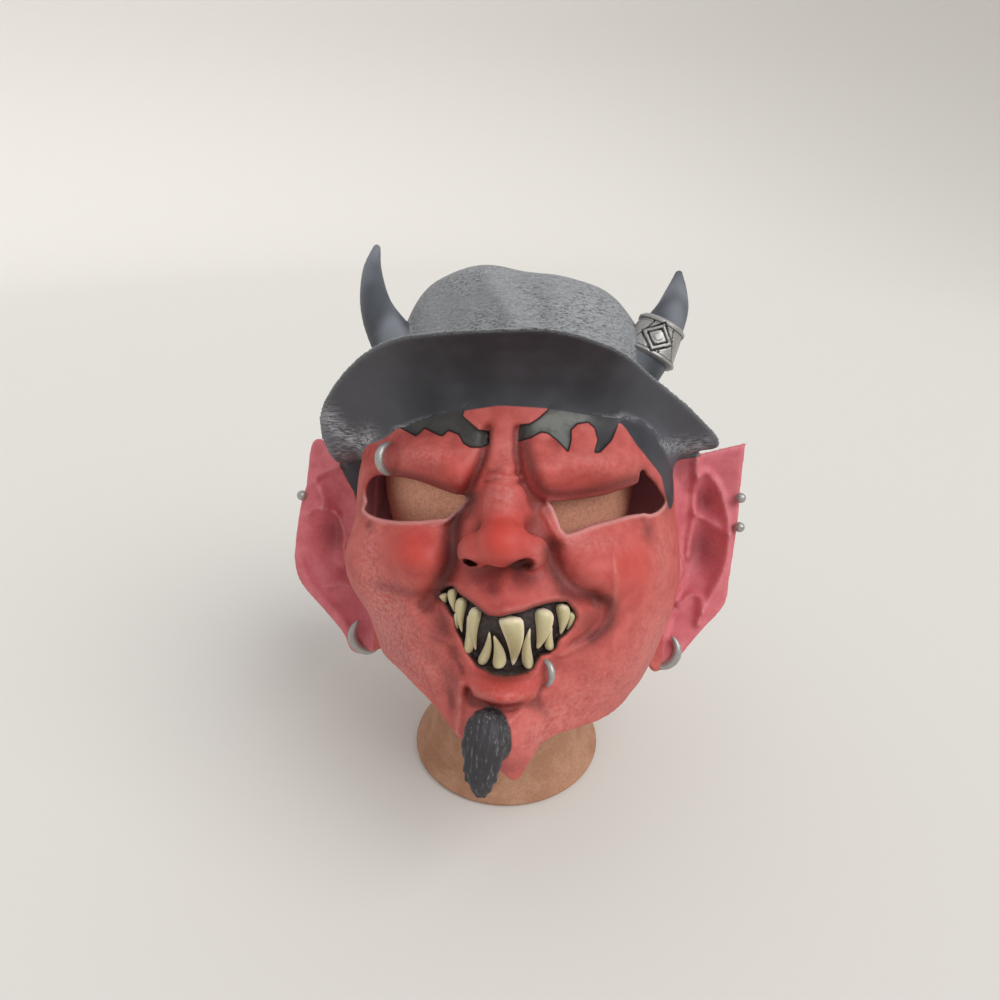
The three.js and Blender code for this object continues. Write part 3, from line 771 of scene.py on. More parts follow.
# %% Functions for meshes and objects
def mesh_from_field(field, name):
    """A mesh in metres from the zero surface of a field."""
    grid = vdb.FloatGrid(3.0)
    grid.copyFromArray(np.clip(field / voxel, -3.0, 3.0))
    points, tris, quads = grid.convertToPolygons(isovalue=0.0, adaptivity=0.0)
    mesh = bpy.data.meshes.new(name)
    mesh.vertices.add(len(points))
    mesh.vertices.foreach_set("co", ((points * voxel + block_low) * MM).astype(np.float32).ravel())
    corners = np.concatenate([tris.ravel(), quads.ravel()]).astype(np.int32)
    mesh.loops.add(len(corners))
    mesh.loops.foreach_set("vertex_index", corners)
    starts = np.concatenate([np.arange(len(tris)) * 3, len(tris) * 3 + np.arange(len(quads)) * 4])
    mesh.polygons.add(len(starts))
    mesh.polygons.foreach_set("loop_start", starts.astype(np.int32))
    mesh.update(calc_edges=True)
    mesh.validate()
    return mesh


def linked(name, mesh):
    """An object in the scene that shows this mesh."""
    made = bpy.data.objects.new(name, mesh)
    bpy.context.scene.collection.objects.link(made)
    return made


def settled(obj):
    """Applies an object's modifiers."""
    evaluated = obj.evaluated_get(bpy.context.evaluated_depsgraph_get())
    mesh = bpy.data.meshes.new_from_object(evaluated)
    obj.modifiers.clear()
    obj.data = mesh
    return obj


# %% Mesh from the field
most_faces = 150000
mask = linked("latex_mask_casting", mesh_from_field(joined, "latex_mask_casting"))
full_count = len(mask.data.polygons)
thinner = mask.modifiers.new("thinner", "DECIMATE")
thinner.ratio = min(1.0, most_faces / (2 * full_count))
settled(mask)
mask.data.shade_smooth()
print("faces:", full_count, "quads, thinned to", len(mask.data.polygons), "triangles")

# %% [markdown]
# ## Keeping only the casting
#
# Where the sculpt is cut, a crumb can come loose. The casting is the largest island of the mesh, and
# crumbs are deleted.

# %% One island
def keep_largest_island(mesh):
    """Deletes all but the largest island of a mesh, and gives the number there were."""
    bm = bmesh.new()
    bm.from_mesh(mesh)
    bm.verts.ensure_lookup_table()
    seen = np.zeros(len(bm.verts), dtype=bool)
    islands = []
    for start in bm.verts:
        if seen[start.index]:
            continue
        seen[start.index] = True
        island, front_line = [start], [start]
        while front_line:
            vert = front_line.pop()
            for edge_out in vert.link_edges:
                other = edge_out.other_vert(vert)
                if not seen[other.index]:
                    seen[other.index] = True
                    island.append(other)
                    front_line.append(other)
        islands.append(island)
    islands.sort(key=len)
    for island in islands[:-1]:
        bmesh.ops.delete(bm, geom=island, context="VERTS")
    bm.to_mesh(mesh)
    bm.free()
    return len(islands)


print("islands before:", keep_largest_island(mask.data))

# %% [markdown]
# ## Where the paint goes
#
# The painter sprays the whole casting red, then brushes and sprays the hat, the sunken brows, the mouth, the
# horns and the beard. Each area is stored on the mesh as a distance in millimetres to the edge of that
# paint, which a material can turn into a crisp or a soft border.

# %% Reading the fields at the mesh's corners
elsewhere = -9.0
points = np.empty(len(mask.data.vertices) * 3, dtype=np.float32)
mask.data.vertices.foreach_get("co", points)
points = points.reshape(-1, 3) / MM
px, py, pz = points.T.astype(float)


def at_points(field, shift=0.0):
    """A voxel field read at the mesh's corners, or a shift in millimetres away from them."""
    place = (points + shift - block_low) / voxel
    base = np.clip(np.floor(place).astype(int), 0, np.array(shape) - 2)
    t = np.clip(place - base, 0.0, 1.0)
    total = np.zeros(len(points))
    for corner in np.ndindex(2, 2, 2):
        weight = np.prod(np.where(corner, t, 1.0 - t), axis=1)
        total += weight * field[tuple((base + corner).T)]
    return total


brim_there = at_points(brim)
ear_there = at_points(ears)
horn_there = at_points(horns)
print("corners:", len(points))

# %% [markdown]
# The hat's paint starts at a line over the brows and runs down into a pointed sideburn on each side. On
# the ears it stops at a soft limit, so that no ragged edge shows between the two.

# %% Where the hat's paint lies
hat_behind = 27.0
hat_line = [
    (-100, 30), (-86, 42), (-69, 43), (-55, 45), (-43, 47), (-30, 49.5), (-10, 52.5), (12, 51.8),
    (22, 51), (39, 49), (50, 47), (58, 45), (66, 34), (75, 25), (85, 16), (100, 16),
]
left_sideburn = [
    (-126, 44), (-121, 17), (-119, 11.6), (-113.5, 0.6), (-111, -6.7), (-108, -5.4), (-104, 4.6),
    (-102, 17), (-99, 26), (-92, 44),
]
right_sideburn = [
    (62, 46), (74, 31), (84, 16), (89, 0), (91.5, -4), (95, 2), (96, 15), (98, 24), (100, 46),
]
line_height = np.interp(px, *np.array(hat_line, dtype=float).T)
line_height = np.where(py > 15, hat_behind, line_height)
above_line = pz - line_height
above_line = np.where(np.abs(px) > 97, np.minimum(above_line, (ear_there - 1.5) * 2.5), above_line)
hat_area = np.maximum(above_line, 2.5 - brim_there)
for sideburn in (left_sideburn, right_sideburn):
    reach = np.where((py > -80) & (py < 12), -outline_distance(px, pz, sideburn), elsewhere)
    hat_area = np.maximum(hat_area, reach)
print("hat corners:", int((hat_area > 0).sum()))

# %% Paint areas
patches = np.maximum(-outline_distance(px, pz, left_patch), -outline_distance(px, pz, right_patch))
patches = np.where(py < -40, patches, elsewhere)
lips_away = outline_distance(px, pz, mouth)
lips_area = np.where(py < -60, -lips_away, elsewhere)


def beard_area():
    """Distance inside the beard's edge, which lies 2 mm outside the goatee."""
    out = np.full(len(points), elsewhere)
    near = (px > -40) & (px < 14) & (pz < -94) & (py < -92)
    out[near] = -taper(px[near], py[near], pz[near], goatee_line, goatee_radii + 2.0, 0.8)
    return out


normals = np.empty(len(points) * 3, dtype=np.float32)
mask.data.vertices.foreach_get("normal", normals)
normals = normals.reshape(-1, 3).astype(float)
# the brim's faces that look down, which take a darker paint as painted shade
underside = np.where(brim_there < 2.5, -normals[:, 2] * 10.0, np.where(pz < 62.0, -elsewhere, elsewhere))
areas = {
    "hat": hat_area,
    "underside": underside,
    "ear": np.where((np.abs(px) > 95) & (hat_area < 0), 2.0 - ear_there, elsewhere),
    "patch": patches,
    "mouth": lips_area,
    "horn": 0.8 - horn_there,
    "beard": beard_area(),
    "inside": 1.0 - at_points(inner),
}


def store(layers, lowest, highest):
    """Keeps one number at each corner of the mask's mesh for each layer."""
    for name, values in layers.items():
        layer = mask.data.attributes.new(name, "FLOAT", "POINT")
        layer.data.foreach_set("value", np.clip(values, lowest, highest).astype(np.float32))


store(areas, -12.0, 12.0)
print("paint areas:", {k: int((v > 0).sum()) for k, v in areas.items()}, "corners")

# %% [markdown]
# ## Airbrushed shade and warmth
#
# An airbrush follows the sculpture: brown-red mist in the folds and hollows, orange-red on the nose, lip and
# cheeks, and a pale pink dry brush on what stands out low on the cheeks and on the ears. The brown in the
# folds and hollows is also painted shade, darker where less light falls, and some of the pale places are
# painted highlights. So the folds are measured in the clay itself: at each corner the distance field is read
# all round, and where the form rises on all sides the mean is below 0. Wide soft spots of mist and painted
# shade are added where the painter held the airbrush.

# %% Folds and ridges measured in the clay
clay = np.minimum(np.minimum(outer, ears), np.minimum(brim, horns))
directions = [np.array(d) - 1.0 for d in np.ndindex(3, 3, 3) if sum(c != 1 for c in d) in (1, 3)]


def bulge(radius):
    """How much the form falls away around each corner: above 0 on a ridge, below 0 in a fold."""
    total = sum(at_points(clay, radius * d / np.linalg.norm(d)) for d in directions)
    return total / len(directions) / radius


ridge, swelling = bulge(3.5), bulge(9.0)
print("bulge from", round(float(ridge.min()), 2), "to", round(float(ridge.max()), 2))

# %% Brown mist and painted shade in the folds
# brown mist and painted shade where the clay folds in on all sides
shade = np.maximum(step(-ridge, 0.02, 0.3) * 0.5, step(-swelling, 0.0, 0.22) * 0.6)
# mist and painted shade along the upper lip, where it overhangs the mouth
lip_mist_and_shade = 0.6 * np.exp(-((lips_away - 0.5) / 2.6) ** 2) * step(pz, -66.0, -56.0)
shade = np.maximum(shade, lip_mist_and_shade)
mist_and_shade_spots = [
    # place, spread, how much: spots of brown mist and painted shade
    ((-21.5, -30), (5, 2.6), 1.2), ((4.4, -30.8), (7.5, 4.4), 1.3), ((-10, -43), (5, 6), 0.7),
    ((-22, -36), (7, 4), 0.5), ((-50, -54), (18, 7), 0.4), ((-38, -68), (9, 14), 0.6),
    ((-4, -90), (20, 3), 0.6), ((43, -62), (11, 11), 0.5), ((38, -75), (12, 7), 0.35),
    ((-32, -94), (10, 14), 0.5), ((-44, -84), (16, 12), 0.3),
    ((-90, -4), (6, 16), 0.5), ((88, 4), (6, 14), 0.6), ((75, -14), (5, 8), 0.6), ((17, 0), (7, 10), 0.5),
    ((-12, -104), (16, 4), 0.5), ((22, 34), (4, 7), 0.5), ((-34, 32), (4, 6), 0.4), ((-50, 37), (26, 4), 0.4),
    ((-86, -16), (5, 5), 0.6), ((-64, -86), (20, 20), 0.28), ((-4, -93), (18, 5), 0.3),
]
for at, spread, amount in mist_and_shade_spots:
    shade = np.maximum(shade, amount * hill(px, pz, at, spread))

# %% Brown mist and painted shade along the main folds, and painted shade over the eyes
mist_and_shade_folds = [
    # path, spread, how much: brown mist and painted shade along the folds and over the eyes
    ([(-25, 3), (-32, -4), (-34, -14), (-33.5, -25), (-34, -34), (-38, -43), (-41, -51)], 6.5, 0.95),
    ([(-78, -50), (-64, -51), (-51, -52), (-42, -50)], 5.0, 0.5),
    ([(19, -22), (21, -32), (25, -40), (31, -46), (49, -50), (53, -55), (52, -65), (43, -71)], 5.5, 0.75),
    ([(-76, 15), (-57, 12.5), (-40, 8), (-28, 5)], 4.5, 0.65),
    ([(5, 40), (5.6, 31), (7.8, 21.6), (10.4, 14.5), (15.4, 8), (29, 6), (48, 10), (66, 15)], 4.5, 0.65),
    ([(-16, 38), (-18, 24), (-22, 14), (-28, 5)], 4.0, 0.7),
    ([(-72, 33), (-66, 24), (-71, 14)], 3.0, 0.4),
]
for path, spread, amount in mist_and_shade_folds:
    shade = np.maximum(shade, amount * drawn_line(px, pz, path, spread))
eye_edges = np.minimum(outline_distance(px, pz, left_eye), outline_distance(px, pz, right_eye))
# painted shade over the eye openings, under the brow rolls
shade_under_brows = 0.6 * np.exp(-np.clip(eye_edges, 0, 50) / 4.0) * step(pz + 0.1 * px, 0.0, 6.0)
shade = np.maximum(shade, shade_under_brows)
thin_rim = np.exp(-((eye_edges - 0.9) / 1.1) ** 2) * step(4.0 - pz, 0.0, 5.0) * (py < -30)
shade = np.where(py < -30, shade, 0.0)

# %% Brown mist and painted shade in the hollows of the ears
for side in (-1, 1):
    for at, spread, height in ears_drawn[side]["hills"]:
        if height < 0:
            amount = -height / 16.0 * hill(side * px, pz, at, (spread[0] * 1.2, spread[1] * 1.1))
            shade = np.where((side * px > 90) & (py > -40), np.maximum(shade, amount), shade)
    for _, path, _, height in ears_drawn[side]["lines"]:
        if height < 0:
            amount = 0.4 * drawn_line(side * px, pz, path, 4.0)
            shade = np.where((side * px > 95) & (py > -40), np.maximum(shade, amount), shade)
print("mean shade:", round(float(shade.mean()), 3))

# %% Warm places, and pale places of dry brush and painted highlight
warm_spots = [
    # place, spread, how much
    ((-58, -27), (18, 15), 1.0), ((-5, -18), (15, 12), 0.9), ((-4, -96), (18, 9), 0.9),
    ((68, -36), (15, 18), 0.7), ((46, -26), (20, 10), 0.3), ((-6, -6), (9, 12), 0.4),
    ((-30, 14), (14, 8), 0.6), ((36, 18), (26, 8), 0.5), ((-56, 24), (20, 7), 0.4),
]
bloom_and_highlight_spots = [
    # place, spread, how much: pale dry brush, and painted highlights on the brows and the nose bridge
    ((-76, -66), (22, 24), 1.0), ((-58, -94), (24, 20), 0.8), ((50, -104), (30, 22), 0.55),
    ((84, -80), (18, 24), 0.6), ((20, -124), (22, 18), 0.6), ((-84, -30), (8, 24), 0.7),
    ((40, -20), (22, 5), 0.5), ((84, -30), (8, 22), 0.5), ((-6, 4), (8, 7), 0.6),
    ((-6, 26), (7, 9), 0.4), ((-50, 25), (18, 7), 0.6), ((40, 22), (24, 8), 0.45),
    ((104, 4), (7, 26), 0.5),
]
warmth = hills(px, pz, warm_spots)
bloom_and_highlight = hills(px, pz, bloom_and_highlight_spots)
# pale dry brush on what stands out, also a painted highlight where it would catch the light
bloom_and_highlight = np.maximum(bloom_and_highlight, step(ridge, 0.1, 0.35) * 0.6 * step(lips_away, 2.0, 6.0))
# on the ears, dry brush and painted highlights on the ridges
bloom_and_highlight = np.where(ear_there < 2.0, step(ridge, 0.12, 0.5) * 0.7 + 0.2, bloom_and_highlight)
print("mean warmth:", round(float(warmth.mean()), 3), "mean bloom:", round(float(bloom_and_highlight.mean()), 3))

# %% Dry brush on the brim
brushed_paths = [
    # path, spread, how much: dry strokes on the brim's turned-down sides
    ([(-114, 47), (-111, 41), (-104, 35), (-97, 32), (-90, 35)], 6.0, 1.0),
    ([(-112, 28), (-108, 18), (-112, 12)], 6.0, 0.6),
    ([(82, 33), (96, 35.5), (107, 35), (113, 38)], 4.5, 0.7),
    ([(60, 47), (72, 35), (84, 30)], 3.5, 0.5),
]
brushed = np.zeros(len(points))
for path, spread, amount in brushed_paths:
    brushed = np.maximum(brushed, amount * drawn_line(px, pz, path, spread))
brushed = np.where(py < 0, brushed, 0.0)
# the rim's dry brush, with a painted highlight along its raised edge
rim = ridge * step(at_points(outer), 6.0, 14.0)
# airbrushed paint, with the painted shade and painted highlights that go with it
airbrush_and_painted_light = {"shade": shade, "warmth": warmth, "bloom_and_highlight": bloom_and_highlight, "rim": rim, "thin_rim": thin_rim,
            "brushed": brushed * (brim_there < 3.0), "on_brim": step(-brim_there, -4.0, -2.0)}
store(airbrush_and_painted_light, 0.0, 1.0)
print("airbrushed layers:", list(airbrush_and_painted_light))

# %% [markdown]
# ## Materials: one function for colours, one for nodes
#
# Colours are read off as sRGB hex values, because that is how a paint chart names them. Blender's shaders
# work in linear light, so one function converts them. A second adds a node to the material in hand, gives it
# its settings and values, and wires it.

# %% Helpers for materials
def linear(colour):
    """An sRGB hex colour as linear red, green, blue and alpha."""
    parts = [int(colour[i:i + 2], 16) / 255 for i in (1, 3, 5)]
    return [v / 12.92 if v <= 0.04045 else ((v + 0.055) / 1.055) ** 2.4 for v in parts] + [1.0]


def node(kind, *values, out=None, **named):
    """Adds a node to the tree in hand and gives one of its outputs, the first live one if none is named.
    The values go to its live inputs in order. A name with a capital is an input, any other a setting."""
    made = tree.nodes.new("ShaderNode" + kind)
    for name, value in named.items():
        if name.islower():
            setattr(made, name, value)
    given = list(zip([socket for socket in made.inputs if socket.enabled], values))
    given += [(made.inputs[name], value) for name, value in named.items() if not name.islower()]
    for socket, value in given:
        if isinstance(value, bpy.types.NodeSocket):
            tree.links.new(value, socket)
        else:
            socket.default_value = linear(value) if isinstance(value, str) else value
    return made.outputs[out] if out else next(socket for socket in made.outputs if socket.enabled)


def new_material(name, **shader):
    """A material with a Principled shader whose own sockets hold the uniform values."""
    material = bpy.data.materials.new(name)
    material.use_nodes = True
    tree = material.node_tree
    surface = tree.nodes["Principled BSDF"]
    for key, value in shader.items():
        surface.inputs[key.replace("__", " ")].default_value = value
    return material, tree, surface


def on_the_mask():
    """Places in the mask's own frame, for patterns that follow the casting, which leans back on its head."""
    standing = node("TexCoord", out="Object")
    return node("Mapping", standing, worn.to_translation(), worn.to_euler(), vector_type="TEXTURE")


def per_metre(millimetres):
    """The noise scale whose grain is this many millimetres across, on coordinates in metres."""
    return 1.0 / (millimetres * MM)


# %% [markdown]
# ## How paint is laid on
#
# Every finish here is made by hand: a ground colour, coats over it that each cover some places only, and a
# fine relief. So three small recipes serve all the materials: a cloudy pattern with a real grain size, a
# stack of coats, and the last step that gives the shader its colour and its relief.

# %% Recipes for paint
soft = {"interpolation_type": "SMOOTHSTEP"}
times = {"operation": "MULTIPLY"}
times_plus = {"operation": "MULTIPLY_ADD"}


def grain(size, detail=3.0, roughness=0.55, stretch=(1.0, 1.0, 1.0), swirl=0.0, fade=None):
    """A cloudy pattern with a grain in millimetres, longer along an axis whose stretch is below 1. Fade
    gives the two values that become 0 and 1."""
    stretched = node("Mapping", place, Scale=stretch)
    cloud = node("TexNoise", stretched, Scale=per_metre(size), Detail=detail, Roughness=roughness,
                 Distortion=swirl)
    return node("MapRange", cloud, *fade, **soft) if fade else cloud


def painted(ground, coats):
    """A ground with coats over it. Each has its paint, where it lies and how strongly it covers."""
    for paint, where, strength in coats:
        amount = node("Math", where, strength, **times)
        ground = node("Mix", amount, ground, paint, data_type="RGBA")
    return ground


def finished(surface, colour, relief, strength, depth):
    """Gives a shader its colour and its fine relief, whose depth is in millimetres."""
    tree.links.new(colour, surface.inputs["Base Color"])
    bump = node("Bump", Strength=strength, Distance=depth * MM, Height=relief)
    tree.links.new(bump, surface.inputs["Normal"])


# %% [markdown]
# ## Painted latex
#
# Mask latex is matt once it is cured and powdered, and the airbrushed rubber-cement paint dries to a soft
# satin. So the roughness is high, with a faint clear sheen. The colour is a stack of paint layers, from
# the red base coat up, each let through by one of the stored areas.

# %% Where each paint lies
latex, tree, surface = new_material("painted_cast_latex", IOR=1.45)
place = on_the_mask()
sideways = node("SeparateXYZ", place, out="X")
stored = {name: node("Attribute", attribute_name=name, out="Fac") for name in (*areas, *airbrush_and_painted_light)}
paint_edges = {
    # between which distances from its border, in millimetres, a paint fades in
    "ear": (-1.0, 1.0), "inside": (-0.6, 0.4), "patch": (0.1, 0.9), "mouth": (-0.9, 0.3),
    "underside": (-2.0, 1.5), "hat": (-0.5, 0.5), "horn": (-0.5, 0.3), "beard": (-1.2, 0.4),
}
covered = {name: node("MapRange", stored[name], *edge, **soft) for name, edge in paint_edges.items()}
# a dark line just outside each sunk patch: painted outline, and painted shade at the step down into it
patch_outline_and_shade = node("MapRange", stored["patch"], -0.7, -0.1, **soft)
print("stored layers:", len(stored))

# %% [markdown]
# The red skin is mottled, and on the cheeks and ears a nearly dry brush left a pale bloom, with painted
# highlights on the brows and the nose bridge. The brown mist and painted shade in the folds break up into
# patches and specks, as an airbrush spits.

# %% Skin, bloom and painted highlights, mist and painted shade
mottle = grain(9.0, 4.0)
mottled = node("MapRange", mottle, 0.35, 0.65, **soft)
ear_skin = painted("#c45f69", [("#cf6d76", mottled, 1.0)])
bloom_and_highlight_there = node("Math", stored["bloom_and_highlight"], grain(2.2, fade=(0.25, 0.75)), **times)
patchy_mist_and_shade = node("Math", stored["shade"], node("Math", mottle, 0.7, 0.65, **times_plus), **times)
specks = node("Math", grain(1.3, 2.0), 0.5, operation="SUBTRACT")
# brown mist and painted shade, broken into patches and specks
mist_and_shade = node("MapRange", node("Math", specks, 0.3, patchy_mist_and_shade, **times_plus), 0.05, 1.0, **soft)

# %% [markdown]
# The forehead patches go from brown grey to light grey to dark, from one side to the other; the dark right
# end is painted shade, where the brim shades them. The mouth is nearly black.

# %% Forehead patches and mouth
patch_grey = painted("#403f3c", [
    ("#6b6c68", node("MapRange", sideways, 4.0 * MM, 14.0 * MM, **soft), 1.0),
    # painted shade at the right end, under the brim
    ("#2e2e32", node("MapRange", sideways, 33.0 * MM, 46.0 * MM, **soft), 1.0),
    ("#2b2a2b", node("MapRange", mottle, 0.45, 0.6, **soft), 0.4),
])
mouth_dark = painted("#2b2322", [("#453a38", grain(2.5, fade=(0.4, 0.7)), 1.0)])

# %% [markdown]
# The hat is painted to look like felt: short pale hairs over a dark ground on the crown, and a plain
# underside, darker than the crown as painted shade where it faces down. Where the brim turns down at the
# sides, its underside has a paler painted sheen and dry strokes of pale grey.

# %% Hat paint
hairs = grain(1.1, 4.0, 0.6, (0.35, 0.35, 1.4), swirl=1.4)
hat_cloud = grain(30.0, 2.0)
crown_grey = painted("#484a4d", [
    ("#9b9d9f", node("MapRange", hairs, 0.34, 0.6, **soft), 1.0),
    ("#8b8d90", node("MapRange", hat_cloud, 0.35, 0.65, **soft), 0.55),
])
# painted sheen: the brim's turned-down sides are paler
from_middle = node("Math", sideways, operation="ABSOLUTE")
sheen_to_the_sides = node("MapRange", from_middle, 45.0 * MM, 85.0 * MM, **soft)
strokes = grain(1.6, 3.0, 0.6, (0.3, 1.0, 1.2), swirl=0.8, fade=(0.36, 0.62))
# the underside's dark grey is painted shade, where the brim faces down
shaded_under_grey = painted("#2c2d33", [
    ("#3d3e44", node("MapRange", hat_cloud, 0.35, 0.7, **soft), 1.0),
    ("#54555c", node("Math", sheen_to_the_sides, stored["on_brim"], **times), 0.7),
    ("#a7a8ad", node("Math", stored["brushed"], strokes, **times), 1.0),
])
# the rolled rim: dry brush and a painted highlight on its edge
rim_drybrush_and_highlight = node("MapRange", stored["rim"], 0.24, 0.45, **soft)
rim_hairs = node("MapRange", hairs, 0.3, 0.6, **soft)
hat_paint = painted(crown_grey, [
    (shaded_under_grey, covered["underside"], 1.0),
    ("#8d8f91", node("Math", rim_drybrush_and_highlight, rim_hairs, **times), 0.6),
])

# %% Horns, beard and the whole stack
horn_paint = painted("#40444b", [("#72767d", grain(24.0, 1.0, 0.5, (1, 1, 0.35), fade=(0.35, 0.65)), 1.0)])
combed = grain(1.3, 3.0, 0.6, (1.0, 1.0, 0.16), fade=(0.55, 0.72))
beard_paint = painted("#323033", [("#6f6d71", combed, 1.0)])
skin = painted("#b24b46", [
    ("#c25b54", mottled, 1.0),
    ("#c23a2e", stored["warmth"], 0.8),
    (ear_skin, covered["ear"], 1.0),
    # pale dry brush, and painted highlights
    ("#cf8d88", bloom_and_highlight_there, 0.75),
    # brown mist and painted shade in the folds
    ("#4a1a18", mist_and_shade, 0.92),
    ("#dba09b", stored["thin_rim"], 0.7),
    # the inside is painted far paler than its latex: painted light, for the light that gets in through the
    # openings
    ("#e39aa6", covered["inside"], 1.0),
    # dark outline and painted shade round the patches
    ("#241514", patch_outline_and_shade, 1.0),
    (patch_grey, covered["patch"], 1.0),
    (mouth_dark, covered["mouth"], 1.0),
    (hat_paint, covered["hat"], 1.0),
    (horn_paint, covered["horn"], 1.0),
    (beard_paint, covered["beard"], 1.0),
])

# %% [markdown]
# The relief is skin pores a little under a millimetre apart, low lumps of about 3 mm, and the hat's hairs
# where it isn't the smooth underside.

# %% Sheen and relief
tree.links.new(node("Math", mottle, 0.1, 0.5, **times_plus), surface.inputs["Roughness"])
on_top = node("Math", covered["hat"], covered["underside"], operation="SUBTRACT", use_clamp=True)
latex_relief = node("Math", hairs, on_top, **times)
latex_relief = node("Math", grain(0.7, 2.0, 0.5), 0.2, latex_relief, **times_plus)
latex_relief = node("Math", grain(3.2), 0.25, latex_relief, **times_plus)
finished(surface, skin, latex_relief, 0.5, 0.8)
mask.data.materials.append(latex)
print("latex nodes:", len(tree.nodes))

# %% [markdown]
# ## Teeth
#
# The teeth are part of the casting too, but each is a crisp little form. Each is lofted as its own closed
# shell, set into the dark mouth, and joined to the mask object. A tooth has a rounded root, a domed front
# and a tip that narrows on a curve.

# %% Teeth
teeth = [
    # root across and up, tip across and up, width
    ((-38.0, -49.9), (-36.4, -55.1), 4.6),
    ((-32.5, -46.6), (-31.1, -59.2), 5.4),
    ((-26.6, -50.3), (-26.8, -70.1), 6.4),
    ((-29.8, -58.5), (-28.8, -70.5), 2.6),
    ((-24.2, -82.6), (-23.4, -59.3), 5.6),
    ((-18.2, -53.5), (-19.2, -79.8), 6.8),
    ((-16.4, -87.3), (-11.1, -66.2), 5.6),
    ((-6.2, -88.1), (-8.8, -68.2), 7.4),
    ((-0.5, -56.1), (1.2, -86.4), 12.6),
    ((9.8, -88.3), (10.0, -63.2), 6.2),
    ((16.8, -52.9), (14.1, -76.9), 10.2),
    ((20.7, -77.7), (21.4, -63.7), 5.0),
    ((26.4, -51.0), (26.2, -69.0), 7.6),
    ((31.8, -55.6), (29.6, -67.2), 4.6),
]
print("teeth drawn:", len(teeth))

# %% Tooth shells
tooth_set_back = 5.6
tooth_stands = 6.0
tooth_bend = 0.06
widest_slim_tooth = 12.0


def face_front(x, z):
    """How far the face, without its mouth recess, lies in front of the middle plane."""
    hood_half, front_depth, _ = hood_section(z)
    facing = np.sqrt(np.maximum(1.0 - (x / hood_half) ** 2, 0.0))
    return facing * front_depth + hills(x, z, face_forms) * facing**relief_fades


def tooth_shell(root, tip, tooth_width, rings=22, sides_round=20):
    """A tooth from its root to its tip, as rings that swell fast and then narrow on a curve. It gives its
    corners, its faces and how olive each corner is."""
    root, tip = np.array(root, dtype=float), np.array(tip, dtype=float)
    lean = tip - root
    length = np.linalg.norm(lean)
    across_dir = np.array([-lean[1], lean[0]]) / length
    bend = tooth_bend * length * np.sign(tip[0] + 0.01)
    rise = 0.12 if tooth_width > widest_slim_tooth else 0.2
    stack, olive = [], []
    for k in range(rings):
        s = k / (rings - 1)
        rounded = (1.0 - (1.0 - min(s / rise, 1.0)) ** 2.5) ** 0.5
        girth = rounded * (1.0 - 0.88 * (max(s - rise, 0.0) / (1.0 - rise)) ** 1.3)
        girth *= (1.0 - max(s - 0.94, 0.0) / 0.06) ** 0.5
        middle = root + lean * s + across_dir * bend * math.sin(s * math.pi)
        base_y = -(face_front(middle[0], middle[1]) - tooth_set_back)
        for j in range(sides_round):
            a = 2.0 * math.pi * j / sides_round
            flat = middle + across_dir * math.cos(a) * girth * tooth_width / 2.0
            stands = tooth_stands * (0.8 if math.sin(a) > 0 else 0.5)
            stack.append((flat[0], base_y - math.sin(a) * girth * stands, flat[1]))
            inner_part = min(max((math.sin(a) - 0.35) / 0.35, 0.0), 1.0)
            olive.append(inner_part * min(s / 0.14, 1.0) * min((1.0 - s) / 0.2, 1.0))
    return np.array(stack), grid_faces(sides_round, rings), olive


# %% Closed shells made into an object
def grid_faces(columns, rows, closed_rows=False):
    """The faces of a grid of corners that closes round its columns, and along its rows if asked."""
    faces = []
    for k in range(rows if closed_rows else rows - 1):
        for j in range(columns):
            k2, j2 = (k + 1) % rows, (j + 1) % columns
            faces.append((k * columns + j, k * columns + j2, k2 * columns + j2, k2 * columns + j))
    return faces


def shell_mesh(name, shells, material):
    """One mesh from closed shells in millimetres, with its faces turned out. A shell is its corners, its
    faces and, where it is painted in two tones, the share of the second tone at each corner."""
    bm = bmesh.new()
    tone = bm.verts.layers.float.new("tone")
    for shell_points, faces, *tones in shells:
        made = [bm.verts.new([v * MM for v in p]) for p in shell_points]
        for vert, value in zip(made, tones[0] if tones else []):
            vert[tone] = value
        for face_corners in faces:
            bm.faces.new([made[i] for i in face_corners])
    bmesh.ops.remove_doubles(bm, verts=bm.verts, dist=0.01 * MM)
    bmesh.ops.recalc_face_normals(bm, faces=bm.faces)
    mesh = bpy.data.meshes.new(name)
    bm.to_mesh(mesh)
    bm.free()
    mesh.materials.append(material)
    mesh.shade_smooth()
    return linked(name, mesh)


# %% [markdown]
# Latex teeth are painted cream, with an olive wash in their hollow fronts and brown stains.

# %% Tooth paint
ivory, tree, surface = new_material("ivory_tooth_paint", Roughness=0.38, IOR=1.5)
place = on_the_mask()
tooth_paint = painted("#f8ead0", [
    ("#eeddb6", grain(3.5, 3.0, 0.5, (1, 1, 0.4), fade=(0.35, 0.65)), 1.0),
    ("#b8af80", node("Attribute", attribute_name="tone", out="Fac"), 0.8),
    ("#7d6c3c", grain(1.2, fade=(0.6, 0.78)), 0.3),
])
finished(surface, tooth_paint, grain(1.0, 2.0, 0.5, (1, 1, 0.25)), 0.25, 0.4)

# %% The row of teeth
teeth_object = shell_mesh("teeth", [tooth_shell(*tooth) for tooth in teeth], ivory)
print("teeth:", len(teeth), "faces:", len(teeth_object.data.polygons))

# %% [markdown]
# ## Rings, studs and the horn cuff
#
# The jewellery is cast in the latex and painted silver, so it has soft edges and a brushed, slightly grey
# shine, not the mirror of real steel.

# %% Silver paint
silver, tree, surface = new_material("silver_paint", Metallic=0.6, Roughness=0.4)
place = on_the_mask()
silver_coat = painted("#a9a7a4", [
    ("#787673", grain(1.6, 4.0, fade=(0.5, 0.72)), 0.5),
    ("#1b1a1c", node("Attribute", attribute_name="tone", out="Fac"), 1.0),
])
finished(surface, silver_coat, grain(0.8), 0.3, 0.3)

